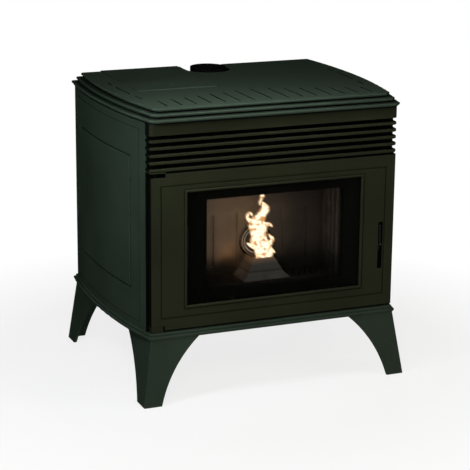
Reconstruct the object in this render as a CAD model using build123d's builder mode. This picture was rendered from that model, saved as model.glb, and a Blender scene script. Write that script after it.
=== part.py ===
from build123d import *
import math
import os

os.makedirs("parts", exist_ok=True)

# Pellet stove on four cast legs. Millimetres, +Z up, the front toward -Y.
# The origin lies on the floor under the middle of the whole stove.

# ---- driving dimensions ----
front_width = 700.0
front_y = -290.0
cabinet_depth = 553.0
side_bulge = 24.0
side_taper = 10.0
leg_height = 174.0
base_height = 16.0
door_height = 417.0
door_thickness = 16.0
door_inset = 4.0
louvre_count = 5
louvre_pitch = 18.6
louvre_height = 8.0
fascia_height = 31.0
tier_height = 12.2
tier_step = 12.0
top_overhang = 8.0
top_plate_thickness = 8.5
panel_thickness = 4.0
sheet = 2.0
flue_radius = 50.0
flue_x = 8.0
intake_radius = 25.0
hopper_x = -176.0
auger_incline = 45.0

# ---- clearances ----
joint_gap = 0.4
running_clearance = 0.1
seam_gap = 1.0
lid_gap = 1.2

# ---- levels above the floor ----
base_bottom = leg_height
base_top = base_bottom + base_height
door_bottom = base_top + 4.5
door_top = door_bottom + door_height
first_louvre = door_top + 8.1
fascia_bottom = first_louvre + louvre_count * louvre_pitch - 3.6
body_top = fascia_bottom + fascia_height
stove_top = body_top + 3 * tier_height

# ---- depths from front to back ----
seam_y = front_y + 28.0
frame_y = seam_y
frame_thickness = 8.0
frame_back_y = frame_y + frame_thickness
side_front_y = seam_y + seam_gap
side_rear_y = side_front_y + cabinet_depth
rear_panel_back_y = side_rear_y + sheet
top_rear_y = side_rear_y + top_overhang - 2 * tier_step
half_front = front_width / 2


def side_x(y):
    """Half width of the bulged cabinet side at depth y."""
    t = (y - side_front_y) / cabinet_depth
    return half_front + side_taper * t + 4 * side_bulge * t * (1 - t)


def side_band(hand, near, far, inner, outer):
    """Plan of a strip along the bulged side, between two offsets from its face."""
    middle = (near + far) / 2
    with BuildSketch() as plan:
        with BuildLine():
            ThreePointArc(
                (hand * (side_x(near) + outer), near),
                (hand * (side_x(middle) + outer), middle),
                (hand * (side_x(far) + outer), far),
            )
            ThreePointArc(
                (hand * (side_x(near) + inner), near),
                (hand * (side_x(middle) + inner), middle),
                (hand * (side_x(far) + inner), far),
            )
            Line((hand * (side_x(near) + outer), near), (hand * (side_x(near) + inner), near))
            Line((hand * (side_x(far) + outer), far), (hand * (side_x(far) + inner), far))
        make_face()
    return plan.sketch


def cabinet_outline(offset, near, far, facet):
    """Plan of the cabinet with bulged sides, clipped front corners and a flat rear."""
    corner = near + facet
    middle = (corner + far) / 2
    x_corner = side_x(corner) + offset
    x_middle = side_x(middle) + offset
    x_rear = side_x(far) + offset
    with BuildSketch() as plan:
        with BuildLine():
            Line((-x_corner + facet, near), (x_corner - facet, near))
            Line((x_corner - facet, near), (x_corner, corner))
            ThreePointArc((x_corner, corner), (x_middle, middle), (x_rear, far))
            Line((x_rear, far), (-x_rear, far))
            ThreePointArc((-x_rear, far), (-x_middle, middle), (-x_corner, corner))
            Line((-x_corner, corner), (-x_corner + facet, near))
        make_face()
    return plan.sketch


def upright(y):
    """Vertical plane facing the front at depth y: sketch X is +X, sketch Y is +Z."""
    return Plane(origin=(0, y, 0), x_dir=(1, 0, 0), z_dir=(0, -1, 0))


def sideways(x):
    """Vertical plane facing +X at x: sketch X is +Y, sketch Y is +Z."""
    return Plane(origin=(x, 0, 0), x_dir=(0, 1, 0), z_dir=(1, 0, 0))


def box_sketch(x0, x1, y0, y1, mode=Mode.ADD):
    """Rectangle between two corners of the open sketch."""
    with Locations(((x0 + x1) / 2, (y0 + y1) / 2)):
        Rectangle(x1 - x0, y1 - y0, mode=mode)


# ---- base: a hollow casting with two rounded mouldings ----
base_overhang = 11.0
base_facet = 6.0
base_rear_y = side_rear_y + base_overhang
base_step = 6.0
lower_bead = 9.0
base_wall = 3.0
bead_round = 3.4
base_flange = 20.0

with BuildPart() as base_plate:
    with BuildSketch(Plane.XY.offset(base_bottom)):
        add(cabinet_outline(base_overhang, front_y - base_overhang, base_rear_y, base_facet))
    extrude(amount=lower_bead)
    fillet(base_plate.edges().filter_by(Plane.XY).group_by(Axis.Z)[-1], bead_round)
    fillet(base_plate.edges().filter_by(Plane.XY).group_by(Axis.Z)[0], bead_round)
    with BuildSketch(Plane.XY.offset(base_bottom + lower_bead)):
        near = front_y - base_overhang + base_step
        add(cabinet_outline(base_overhang - base_step, near, base_rear_y - base_step, base_facet))
    extrude(amount=base_height - lower_bead)
    fillet(base_plate.edges().filter_by(Plane.XY).group_by(Axis.Z)[-1], bead_round)
    with BuildSketch(Plane.XY.offset(base_bottom)):
        add(cabinet_outline(-base_flange, frame_back_y + 6, side_rear_y - base_flange, base_facet))
    extrude(amount=base_height - base_wall, mode=Mode.SUBTRACT)
base_plate.part.label = "base_plate"
export_step(base_plate.part, "parts/base_plate.step")


# ---- legs: an angle of two curved-edged webs that splays outward ----
leg_wall = 8.0
leg_reach_x = 134.0
leg_reach_y = 200.0
ridge_top_x = half_front - 1.0
ridge_foot_x = half_front + 26.0
ridge_top_y = front_y - 7.0
ridge_foot_y = front_y - 30.0
rear_ridge_top_x = half_front + side_taper + 4.0
rear_ridge_foot_x = rear_ridge_top_x + 26.0
rear_ridge_top_y = side_rear_y - 1.0
rear_ridge_foot_y = side_rear_y + 8.0
foot_width_x = 49.0
foot_width_y = 57.0


def angle_section(hand, end, corner_x, corner_y):
    """L-shaped plan of a leg; end is +1 at the front and -1 at the rear."""
    tip_x = corner_x - leg_reach_x - 40
    tip_y = corner_y + end * (leg_reach_y + 40)
    with BuildSketch() as plan:
        with BuildLine():
            Polyline(
                (hand * corner_x, corner_y),
                (hand * tip_x, corner_y),
                (hand * tip_x, corner_y + end * leg_wall),
                (hand * (corner_x - leg_wall), corner_y + end * leg_wall),
                (hand * (corner_x - leg_wall), tip_y),
                (hand * corner_x, tip_y),
                close=True,
            )
        make_face()
    return plan.sketch


def leg_arch(near, middle, far, height):
    """Closed region below the concave inner edge of one web, from foot to top."""
    below = -5.0
    outer = far + (far - near) * 2
    with BuildSketch() as region:
        with BuildLine():
            ThreePointArc((near, 0), middle, (far, height))
            Polyline((far, height), (outer, height), (outer, below), (near, below), (near, 0))
        make_face()
    return region.sketch


def leg(hand, end):
    """One leg, with the webs trimmed by the arches between the legs."""
    if end > 0:
        top_x, top_y = ridge_top_x, ridge_top_y
        foot_x, foot_y = ridge_foot_x, ridge_foot_y
    else:
        top_x, top_y = rear_ridge_top_x, rear_ridge_top_y
        foot_x, foot_y = rear_ridge_foot_x, rear_ridge_foot_y
    with BuildPart() as one_leg:
        with BuildSketch():
            add(angle_section(hand, end, foot_x, foot_y))
        with BuildSketch(Plane.XY.offset(leg_height)):
            add(angle_section(hand, end, top_x, top_y))
        loft(ruled=True)
        foot_in = foot_x - foot_width_x
        top_in = top_x - leg_reach_x
        middle_x = (foot_in + top_in) / 2 + 17
        with BuildSketch(upright(top_y)):
            middle = (hand * middle_x, leg_height * 0.52)
            add(leg_arch(hand * foot_in, middle, hand * top_in, leg_height))
        extrude(amount=80, both=True, mode=Mode.SUBTRACT)
        foot_back = foot_y + end * foot_width_y
        top_back = top_y + end * leg_reach_y
        middle_y = (foot_back + top_back) / 2 - end * 26
        with BuildSketch(sideways(hand * top_x)):
            add(leg_arch(foot_back, (middle_y, leg_height * 0.49), top_back, leg_height))
        extrude(amount=80, both=True, mode=Mode.SUBTRACT)
        ridge = one_leg.edges().filter_by(lambda e: e.length > leg_height * 0.98)
        ridge = ridge.sort_by(lambda e: abs(e.center().X) - end * e.center().Y)[-1]
        fillet(ridge, 4)
    return one_leg.part


leg_front_left = leg(-1, 1)
leg_front_left.label = "leg_front_left"
export_step(leg_front_left, "parts/leg_front_left.step")

leg_front_right = leg(1, 1)
leg_front_right.label = "leg_front_right"
export_step(leg_front_right, "parts/leg_front_right.step")

leg_rear_left = leg(-1, -1)
leg_rear_left.label = "leg_rear_left"
export_step(leg_rear_left, "parts/leg_rear_left.step")

leg_rear_right = leg(1, -1)
leg_rear_right.label = "leg_rear_right"
export_step(leg_rear_right, "parts/leg_rear_right.step")


# ---- side panels: bulged castings with a bordered, raised field ----
inset_margin = 76.0
inset_bottom = base_top + 96.0
inset_top = body_top - 97.0
border_front = 30.0
border_end = 14.0
border_drop = 5.0
border_width = 3.5
border_depth = 2.0
groove_width = 5.0
groove_depth = 8.0
groove_wall = 3.0
field_rise = 2.0
field_round = 1.6
flange_width = 26.0


def side_frame(hand, near, far, low, high, width, inner, outer):
    """Rectangular band, between two offsets from the bulged side, round an upright field."""
    with BuildPart() as band:
        for level in (low, high - width):
            with BuildSketch(Plane.XY.offset(level)):
                add(side_band(hand, near, far, inner, outer))
            extrude(amount=width)
        with BuildSketch(Plane.XY.offset(low)):
            add(side_band(hand, near, near + width, inner, outer))
            add(side_band(hand, far - width, far, inner, outer))
        extrude(amount=high - low)
    return band.part


def side_field(hand, near, far, low, high):
    """Raised field inside the groove, with rounded edges."""
    with BuildPart() as field:
        with BuildSketch(Plane.XY.offset(low)):
            add(side_band(hand, near, far, -panel_thickness + 1, field_rise))
        extrude(amount=high - low)
        face = field.faces().sort_by(lambda f: abs(f.center().X))[-1]
        fillet(face.edges(), field_round)
    return field.part


def side_panel(hand):
    """One side of the cabinet, standing on the base, with a flange behind the front."""
    near = side_front_y + inset_margin
    far = side_rear_y - inset_margin
    groove = side_frame(
        hand, near, far, inset_bottom, inset_top, groove_width, -groove_depth, field_rise + 1
    )
    rib = side_frame(
        hand,
        near - groove_wall,
        far + groove_wall,
        inset_bottom - groove_wall,
        inset_top + groove_wall,
        groove_width + 2 * groove_wall,
        -groove_depth - groove_wall,
        -1,
    )
    border = side_frame(
        hand,
        side_front_y + border_front,
        side_rear_y - border_front,
        base_top + border_end,
        body_top - border_end - border_drop,
        border_width,
        -border_depth,
        field_rise,
    )
    with BuildPart() as panel:
        with BuildSketch(Plane.XY.offset(base_top)):
            add(side_band(hand, side_front_y, side_rear_y, -panel_thickness, 0))
        extrude(amount=body_top - base_top)
        with BuildSketch(Plane.XY.offset(base_top)):
            reach = half_front - panel_thickness / 2
            box_sketch(
                min(hand * reach, hand * (half_front - flange_width)),
                max(hand * reach, hand * (half_front - flange_width)),
                frame_back_y,
                frame_back_y + panel_thickness,
            )
        extrude(amount=body_top - base_top)
        add(rib)
        add(groove, mode=Mode.SUBTRACT)
        add(border, mode=Mode.SUBTRACT)
        add(
            side_field(
                hand,
                near + groove_width,
                far - groove_width,
                inset_bottom + groove_width,
                inset_top - groove_width,
            )
        )
    return panel.part


side_panel_left = side_panel(-1)
side_panel_left.label = "side_panel_left"
export_step(side_panel_left, "parts/side_panel_left.step")

side_panel_right = side_panel(1)
side_panel_right.label = "side_panel_right"
export_step(side_panel_right, "parts/side_panel_right.step")


# ---- fascia and louvres: bands that wrap round both front corners ----
corner_radius = 14.0
louvre_depth = 13.0
louvre_round = 2.5
upright_width = 10.0
upright_overlap = 20.0


def wrap_outline(wall):
    """Plan of a band that runs across the front and back round both rounded corners."""
    inset = max(corner_radius, wall)
    with BuildSketch() as plan:
        box_sketch(-half_front, half_front, front_y, frame_y)
        fillet(plan.vertices().group_by(Axis.Y)[0], corner_radius)
        with BuildLine():
            Polyline(
                (half_front - wall, frame_y),
                (half_front - wall, front_y + inset),
                (half_front - inset, front_y + wall),
                (-half_front + inset, front_y + wall),
                (-half_front + wall, front_y + inset),
                (-half_front + wall, frame_y),
                close=True,
            )
        make_face(mode=Mode.SUBTRACT)
    return plan.sketch


with BuildPart() as fascia:
    with BuildSketch(Plane.XY.offset(fascia_bottom)):
        add(wrap_outline(louvre_depth))
    extrude(amount=fascia_height)
fascia.part.label = "fascia"
export_step(fascia.part, "parts/fascia.step")

for number in range(louvre_count):
    with BuildPart() as louvre:
        low = first_louvre + number * louvre_pitch - louvre_height / 2
        with BuildSketch(Plane.XY.offset(low)):
            add(wrap_outline(louvre_depth))
        extrude(amount=louvre_height)
        nose = louvre.edges().filter_by(lambda e: e.center().Y < front_y + corner_radius - 1)
        fillet(nose.filter_by(Plane.XY), louvre_round)
    louvre.part.label = f"louvre_{number + 1}"
    export_step(louvre.part, f"parts/louvre_{number + 1}.step")

# dark uprights behind the louvres, which carry them and the fascia
with BuildPart() as louvre_uprights:
    rib_bottom = first_louvre - louvre_height / 2
    for x in (-half_front * 0.86, -half_front * 0.29, half_front * 0.29, half_front * 0.86):
        with BuildSketch(sideways(x - upright_width / 2)):
            box_sketch(front_y + louvre_depth, frame_y, rib_bottom, fascia_bottom + upright_overlap)
        extrude(amount=upright_width)
louvre_uprights.part.label = "louvre_uprights"
export_step(louvre_uprights.part, "parts/louvre_uprights.step")


# ---- front frame: the plate behind the door, open to the fire and to the warm air ----
half_opening = 205.0
opening_bottom = base_top + 26.0
opening_top = door_top - 49.0
frame_half = half_front - panel_thickness
outlet_half = half_front * 0.82
strip_thickness = 3.0
strip_front_y = front_y + door_thickness + 3.0
handle_x = front_width * 0.44
handle_slot_width = 14.0
handle_slot_bottom = door_bottom + 103.5
handle_slot_height = 130.0
pivot_z = handle_slot_bottom + 65.0
pivot_y = front_y + 9.0
keeper_top = pivot_z - 19.0
keeper_height = 6.0
hook_hole_width = 24.0
hook_hole_low = keeper_top - 3.0
hook_hole_high = pivot_z + 23.0

with BuildPart() as front_frame:
    with BuildSketch(upright(frame_y)):
        box_sketch(-frame_half, frame_half, base_top, body_top)
        box_sketch(-half_opening, half_opening, opening_bottom, opening_top, Mode.SUBTRACT)
        for end in (-1, 1):
            with Locations((end * outlet_half / 2, (first_louvre + fascia_bottom) / 2 + 6)):
                RectangleRounded(outlet_half - 8, 60, 8, mode=Mode.SUBTRACT)
        with Locations((handle_x + 2, (hook_hole_low + hook_hole_high) / 2)):
            RectangleRounded(hook_hole_width, hook_hole_high - hook_hole_low, 4, mode=Mode.SUBTRACT)
    extrude(amount=-frame_thickness)
    for hand in (-1, 1):
        edge = hand * half_front
        inner = hand * (half_front - strip_thickness)
        with BuildSketch(Plane.XY.offset(base_top)):
            box_sketch(min(edge, inner), max(edge, inner), strip_front_y, frame_y + 0.6)
            box_sketch(
                min(inner, hand * (frame_half - 2)),
                max(inner, hand * (frame_half - 2)),
                frame_y - 3,
                frame_y + 0.6,
            )
        extrude(amount=door_top - base_top)
front_frame.part.label = "front_frame"
export_step(front_frame.part, "parts/front_frame.step")


# ---- hinges: a thin lug above the door and a block below it, each with its pin ----
hinge_x = -half_front + 19.0
hinge_y = front_y + door_thickness / 2
lug_width = 41.0
lug_thickness = 3.0
notch_height = 11.0
block_height = 16.0
pin_radius = 4.0
pin_length = 20.0
door_half = half_front - door_inset

with BuildPart() as hinge_lug_top:
    with BuildSketch(Plane.XY.offset(door_top + joint_gap)):
        box_sketch(-door_half, -half_front + lug_width + 4, front_y, frame_y)
    extrude(amount=lug_thickness)
    with BuildSketch(Plane.XY.offset(door_top)):
        with Locations((hinge_x, hinge_y)):
            Circle(pin_radius)
    extrude(amount=lug_thickness * 2, mode=Mode.SUBTRACT)
hinge_lug_top.part.label = "hinge_lug_top"
export_step(hinge_lug_top.part, "parts/hinge_lug_top.step")

with BuildPart() as hinge_block_bottom:
    with BuildSketch(Plane.XY.offset(base_top)):
        box_sketch(-frame_half + 2, -half_front + lug_width - 4, front_y, frame_y)
    extrude(amount=block_height)
    with BuildSketch(Plane.XY.offset(base_top + block_height - 12)):
        with Locations((hinge_x, hinge_y)):
            Circle(pin_radius)
    extrude(amount=20, mode=Mode.SUBTRACT)
hinge_block_bottom.part.label = "hinge_block_bottom"
export_step(hinge_block_bottom.part, "parts/hinge_block_bottom.step")

lower_notch_top = base_top + block_height + 0.8
upper_notch_bottom = door_top - notch_height

with BuildPart() as door_hinge_pins:
    with BuildSketch(Plane.XY.offset(base_top + block_height - 12)):
        with Locations((hinge_x, hinge_y)):
            Circle(pin_radius)
    extrude(amount=12 + 0.8 + pin_length)
    with BuildSketch(Plane.XY.offset(upper_notch_bottom - 12)):
        with Locations((hinge_x, hinge_y)):
            Circle(pin_radius)
    extrude(amount=12 + notch_height + joint_gap + lug_thickness)
door_hinge_pins.part.label = "door_hinge_pins"
export_step(door_hinge_pins.part, "parts/door_hinge_pins.step")


# ---- latch keeper: a bar behind the frame that the handle's hook drops over ----
with BuildPart() as latch_keeper:
    with BuildSketch(upright(frame_back_y)):
        box_sketch(handle_x - 18, handle_x + 15, keeper_top - keeper_height, keeper_top)
    extrude(amount=-4)
latch_keeper.part.label = "latch_keeper"
export_step(latch_keeper.part, "parts/latch_keeper.step")


# ---- door: cast frame with a scored border, a window bead and a handle slot ----
window_half = 247.0
window_bottom = door_bottom + 61.5
window_top = door_top - 54.5
bead_width = 7.0
bead_height = 2.6
pane_margin = 5.0
pane_pocket_y = front_y + 5.0
pane_thickness = 4.0
border_thickness = 1.0
clip_thickness = 3.0
clip_seat_y = pane_pocket_y + pane_thickness + border_thickness
door_back_y = front_y + door_thickness
pane_half = window_half + pane_margin
pane_bottom = window_bottom - pane_margin
pane_top = window_top + pane_margin
score_half = half_front - 30.0
score_bottom = door_bottom + 31.5
score_top = door_top - 31.5
score_width = 4.0
score_depth = 3.0


def ring_sketch(half, low, high, width):
    """Rectangular ring: outer half width, outer bottom and top, and its band width."""
    with BuildSketch() as ring:
        box_sketch(-half, half, low, high)
        box_sketch(-half + width, half - width, low + width, high - width, Mode.SUBTRACT)
    return ring.sketch


with BuildPart() as door_frame:
    with BuildSketch(upright(front_y)):
        box_sketch(-door_half, door_half, door_bottom, door_top)
        box_sketch(-window_half, window_half, window_bottom, window_top, Mode.SUBTRACT)
        notch_right = -half_front + lug_width + 4
        box_sketch(-door_half, notch_right, upper_notch_bottom, door_top, Mode.SUBTRACT)
        notch_right = -half_front + lug_width + 1
        box_sketch(-door_half, notch_right, door_bottom, lower_notch_top, Mode.SUBTRACT)
        with Locations((handle_x, handle_slot_bottom + handle_slot_height / 2)):
            RectangleRounded(handle_slot_width, handle_slot_height, 3, mode=Mode.SUBTRACT)
    extrude(amount=-door_thickness)
    rim = door_frame.edges().filter_by(lambda e: abs(e.center().Y - front_y) < 0.01)
    rim = rim.filter_by(lambda e: abs(abs(e.center().X) - door_half) < 0.1 or e.length > 400)
    rim = rim.filter_by(lambda e: e.center().Z < window_bottom or e.center().Z > window_bottom + 40)
    rim = rim.filter_by(lambda e: not (window_bottom - 1 < e.center().Z < window_top + 1 and e.length > 480))
    chamfer(rim, 1.2)
    with BuildSketch(upright(front_y)):
        add(ring_sketch(score_half, score_bottom, score_top, score_width))
    extrude(amount=-score_depth, mode=Mode.SUBTRACT)
    groove_half = window_half + bead_width + 2
    with BuildSketch(upright(front_y)):
        add(ring_sketch(groove_half, window_bottom - bead_width - 2, window_top + bead_width + 2, 2.2))
    extrude(amount=-score_depth, mode=Mode.SUBTRACT)
    bead_half = window_half + bead_width
    with BuildSketch(upright(front_y)):
        add(ring_sketch(bead_half, window_bottom - bead_width, window_top + bead_width, bead_width))
    extrude(amount=bead_height)
    crest = door_frame.edges().filter_by(lambda e: abs(e.center().Y - front_y + bead_height) < 0.01)
    chamfer(crest, 2.0)
    with BuildSketch(upright(pane_pocket_y)):
        box_sketch(-pane_half, pane_half, pane_bottom, pane_top)
    extrude(amount=-door_thickness, mode=Mode.SUBTRACT)
    with BuildSketch(upright(clip_seat_y)):
        box_sketch(-pane_half - 12, pane_half + 12, pane_bottom - 12, pane_top + 12)
    extrude(amount=-door_thickness, mode=Mode.SUBTRACT)
    with BuildSketch(Plane.XY.offset(lower_notch_top)):
        with Locations((hinge_x, hinge_y)):
            Circle(pin_radius + running_clearance)
    extrude(amount=pin_length + 2, mode=Mode.SUBTRACT)
    with BuildSketch(Plane.XY.offset(upper_notch_bottom - 14)):
        with Locations((hinge_x, hinge_y)):
            Circle(pin_radius + running_clearance)
    extrude(amount=14, mode=Mode.SUBTRACT)
    with BuildSketch(sideways(handle_x - 12)):
        with Locations((pivot_y, pivot_z)):
            Circle(2.5)
    extrude(amount=24, mode=Mode.SUBTRACT)
door_frame.part.label = "door_frame"
export_step(door_frame.part, "parts/door_frame.step")

glass_slack = 0.5

with BuildPart() as door_glass:
    with BuildSketch(upright(pane_pocket_y)):
        box_sketch(
            -pane_half + glass_slack,
            pane_half - glass_slack,
            pane_bottom + glass_slack,
            pane_top - glass_slack,
        )
    extrude(amount=-pane_thickness)
door_glass.part.label = "door_glass"
export_step(door_glass.part, "parts/door_glass.step")

# dark band along the edges of the pane, on its inner face
clear_half = 195.0
clear_shift = 5.0
clear_bottom = door_bottom + 91.5
clear_top = door_top - 80.5

with BuildPart() as glass_border:
    with BuildSketch(upright(pane_pocket_y + pane_thickness)):
        box_sketch(
            -pane_half + glass_slack,
            pane_half - glass_slack,
            pane_bottom + glass_slack,
            pane_top - glass_slack,
        )
        left = clear_shift - clear_half
        box_sketch(left, left + 2 * clear_half, clear_bottom, clear_top, Mode.SUBTRACT)
    extrude(amount=-border_thickness)
glass_border.part.label = "glass_border"
export_step(glass_border.part, "parts/glass_border.step")

clip_reach = 11.0

with BuildPart() as glass_clips:
    with BuildSketch(upright(clip_seat_y)):
        for z in (pane_bottom, pane_top):
            for x in (-pane_half * 0.6, pane_half * 0.6):
                box_sketch(x - 40, x + 40, z - clip_reach, z + clip_reach)
        for x in (-pane_half, pane_half):
            middle = (pane_bottom + pane_top) / 2
            box_sketch(x - clip_reach, x + clip_reach, middle - 60, middle + 60)
    extrude(amount=-clip_thickness)
glass_clips.part.label = "glass_clips"
export_step(glass_clips.part, "parts/glass_clips.step")

gasket_half = pane_half + 32.0
gasket_width = 12.0

with BuildPart() as door_gasket:
    with BuildSketch(upright(door_back_y)):
        add(ring_sketch(gasket_half, door_bottom + 4.5, pane_top + 27, gasket_width))
    extrude(amount=-(frame_y - door_back_y - joint_gap))
    back_face = door_gasket.faces().sort_by(Axis.Y)[-1]
    fillet(back_face.edges(), 3)
door_gasket.part.label = "door_gasket"
export_step(door_gasket.part, "parts/door_gasket.step")

with BuildPart() as handle_pivot:
    with BuildSketch(sideways(handle_x - 11)):
        with Locations((pivot_y, pivot_z)):
            Circle(2.5)
    extrude(amount=22)
handle_pivot.part.label = "handle_pivot"
export_step(handle_pivot.part, "parts/handle_pivot.step")

# the handle: a finger bar above the pivot and a hook that reaches through the frame
lever_width = 5.0
hook_clearance = 1.0

with BuildPart() as door_handle:
    with BuildSketch(sideways(handle_x - lever_width / 2)):
        box_sketch(front_y + 3, front_y + 8, pivot_z, pivot_z + 50)
        with Locations((pivot_y, pivot_z)):
            Circle(6.5)
        arm_low = keeper_top + hook_clearance
        hook_y = frame_back_y + 4 + hook_clearance
        with BuildLine():
            Polyline(
                (pivot_y - 5, pivot_z),
                (pivot_y + 5, pivot_z),
                (pivot_y + 8, arm_low + 7),
                (hook_y + 5, arm_low + 7),
                (hook_y + 5, keeper_top - keeper_height - 2),
                (hook_y, keeper_top - keeper_height),
                (hook_y, arm_low),
                (pivot_y + 1, arm_low),
                close=True,
            )
        make_face()
        with Locations((pivot_y, pivot_z)):
            Circle(2.5 + running_clearance, mode=Mode.SUBTRACT)
    extrude(amount=lever_width)
    with Locations((handle_x, front_y + 5.5, pivot_z + 53)):
        Sphere(4.4)
door_handle.part.label = "door_handle"
export_step(door_handle.part, "parts/door_handle.step")


# ---- top: a stepped casting, hollow below, with warm-air slots and a flue notch ----
plate_under = stove_top - top_plate_thickness
top_facet = 16.0
tier_round = 4.2
slot_width = 4.6
slot_front_y = front_y + 34.0
slot_pitch = 40.0
centre_gap = 48.0
slot_count = 7
longest_slot = 149.0
slot_taper = 11.0
side_slot_offset = -52.0
side_slots = ((142.0, 192.0), (218.0, 325.0), (354.0, 391.0))
notch_radius = flue_radius + 12.0
flue_setback = 76.0
flue_y = side_rear_y - flue_setback
lid_half = 114.0
lid_front_y = front_y + 243.0
lid_corner = 14.0
lid_thickness = 7.5
lid_proud = 2.0
lid_pin_radius = 3.0
knuckle_radius = 5.4
lid_bottom = stove_top + lid_proud - lid_thickness
lid_pin_z = lid_bottom - 5.0
lid_pin_y = top_rear_y - 5.5
rod_overhang = 8.0
rod_length = 2 * lid_half + 2 * rod_overhang - 2
lid_left = hopper_x - lid_half
lid_right = hopper_x + lid_half
hinge_relief_y = lid_pin_y - 14.0
relief_floor = lid_pin_z - knuckle_radius - 4.5
ledge_thickness = 4.0
tier_bead_height = 8.6
groove_inset = 5.0
tier_reach = 18.0
hollow_inset = 24.0
hollow_rear_y = top_rear_y - groove_inset - 5.0
rear_clear_y = side_rear_y + top_overhang + 1.0


def tier_bead(overhang, near, far, level):
    """Slab of one tier with a fully rounded edge."""
    with BuildPart() as slab:
        with BuildSketch(Plane.XY.offset(level)):
            add(cabinet_outline(overhang, near, far, top_facet))
        extrude(amount=tier_bead_height)
        edges = slab.edges().filter_by(Plane.XY)
        fillet(edges, tier_round)
    return slab.part


with BuildPart() as top_plate:
    for tier in range(3):
        inward = tier * tier_step
        level = body_top + tier * tier_height
        near = front_y - tier_reach + inward
        far = side_rear_y + top_overhang - inward
        overhang = top_overhang - inward
        with BuildSketch(Plane.XY.offset(level)):
            inner = overhang - groove_inset
            add(cabinet_outline(inner, near + groove_inset, far - groove_inset, top_facet))
        extrude(amount=tier_height - tier_bead_height)
        add(tier_bead(overhang, near, far, level + tier_height - tier_bead_height))
    with BuildSketch(Plane.XY.offset(body_top)):
        add(cabinet_outline(-hollow_inset, frame_back_y + 6, hollow_rear_y, top_facet))
    extrude(amount=plate_under - body_top, mode=Mode.SUBTRACT)
    with BuildSketch(Plane.XY.offset(plate_under - 1)):
        for number in range(-slot_count, slot_count + 1):
            step = abs(number)
            x = math.copysign(centre_gap + (step - 1) * slot_pitch, number) if number else 0
            length = longest_slot - step * slot_taper
            with Locations((x, slot_front_y + length / 2)):
                SlotOverall(length, slot_width, rotation=90)
        for hand in (-1, 1):
            for near, far in side_slots:
                inner = side_slot_offset - slot_width / 2
                outer = side_slot_offset + slot_width / 2
                add(side_band(hand, front_y + near, front_y + far, inner, outer))
    extrude(amount=top_plate_thickness + 2, mode=Mode.SUBTRACT)
    with BuildSketch(Plane.XY.offset(body_top)):
        with Locations((flue_x, flue_y)):
            Circle(notch_radius)
        box_sketch(flue_x - notch_radius, flue_x + notch_radius, flue_y, rear_clear_y)
    extrude(amount=stove_top - body_top, mode=Mode.SUBTRACT)
    rim = top_plate.edges().filter_by(lambda e: abs(e.center().Z - stove_top) < 0.01)
    rim = rim.filter_by(lambda e: abs(e.center().X - flue_x) < notch_radius + 1)
    rim = rim.filter_by(lambda e: e.center().Y > flue_y - notch_radius and e.length > 20)
    rim = rim.filter_by(lambda e: e.center().Y < top_rear_y - 5)
    chamfer(rim, 3)
    with BuildSketch(Plane.XY.offset(plate_under - 1)) as mouth:
        box_sketch(lid_left - lid_gap, lid_right + lid_gap, lid_front_y - lid_gap, top_rear_y + 1)
        fillet(mouth.vertices().group_by(Axis.Y)[0], lid_corner)
    extrude(amount=top_plate_thickness + 2, mode=Mode.SUBTRACT)
    with BuildSketch(Plane.XY.offset(relief_floor)):
        box_sketch(lid_left - lid_gap, lid_right + lid_gap, hinge_relief_y, rear_clear_y)
    extrude(amount=stove_top - relief_floor, mode=Mode.SUBTRACT)
    with BuildSketch(Plane.XY.offset(relief_floor - ledge_thickness)):
        box_sketch(lid_left - rod_overhang, lid_right + rod_overhang - 2, hinge_relief_y - 4, hollow_rear_y + 1)
    extrude(amount=ledge_thickness)
    for x, reach in ((lid_left - lid_gap - 9, 9.5), (lid_right + lid_gap - 0.5, 7.5)):
        with BuildSketch(sideways(x)):
            with Locations((lid_pin_y, lid_pin_z)):
                Circle(knuckle_radius - 0.2)
                Rectangle(6, 10, align=(Align.CENTER, Align.MIN))
        extrude(amount=reach)
    with BuildSketch(sideways(lid_left - rod_overhang)):
        with Locations((lid_pin_y, lid_pin_z)):
            Circle(lid_pin_radius)
    extrude(amount=rod_length, mode=Mode.SUBTRACT)
top_plate.part.label = "top_plate"
export_step(top_plate.part, "parts/top_plate.step")


# ---- hopper lid: a shallow pressing that turns on a rod along its rear edge ----
knuckle_length = 40.0
dimple_radius = 7.0
dimple_y = front_y + 301.0

with BuildPart() as hopper_lid:
    with BuildSketch(Plane.XY.offset(lid_bottom)) as outline:
        box_sketch(lid_left, lid_right, lid_front_y, top_rear_y - 0.2)
        fillet(outline.vertices().group_by(Axis.Y)[0], lid_corner)
    extrude(amount=lid_thickness)
    fillet(hopper_lid.edges().filter_by(Plane.XY).group_by(Axis.Z)[-1], 2)
    with BuildSketch(Plane.XY.offset(lid_bottom)):
        for x in (lid_left + 0.6, lid_right - knuckle_length - 0.6):
            box_sketch(x, x + knuckle_length, lid_pin_y - 3, lid_pin_y + 3)
    extrude(amount=-5)
    for x in (lid_left + 0.6, lid_right - knuckle_length - 0.6):
        with BuildSketch(sideways(x)):
            with Locations((lid_pin_y, lid_pin_z)):
                Circle(knuckle_radius)
        extrude(amount=knuckle_length)
    with BuildSketch(sideways(lid_left)):
        with Locations((lid_pin_y, lid_pin_z)):
            Circle(lid_pin_radius + running_clearance)
    extrude(amount=2 * lid_half, mode=Mode.SUBTRACT)
    with BuildSketch(Plane.XY.offset(stove_top + lid_proud)):
        with Locations((hopper_x, dimple_y)):
            Circle(dimple_radius)
    extrude(amount=-1.5, taper=30, mode=Mode.SUBTRACT)
hopper_lid.part.label = "hopper_lid"
export_step(hopper_lid.part, "parts/hopper_lid.step")

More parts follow.
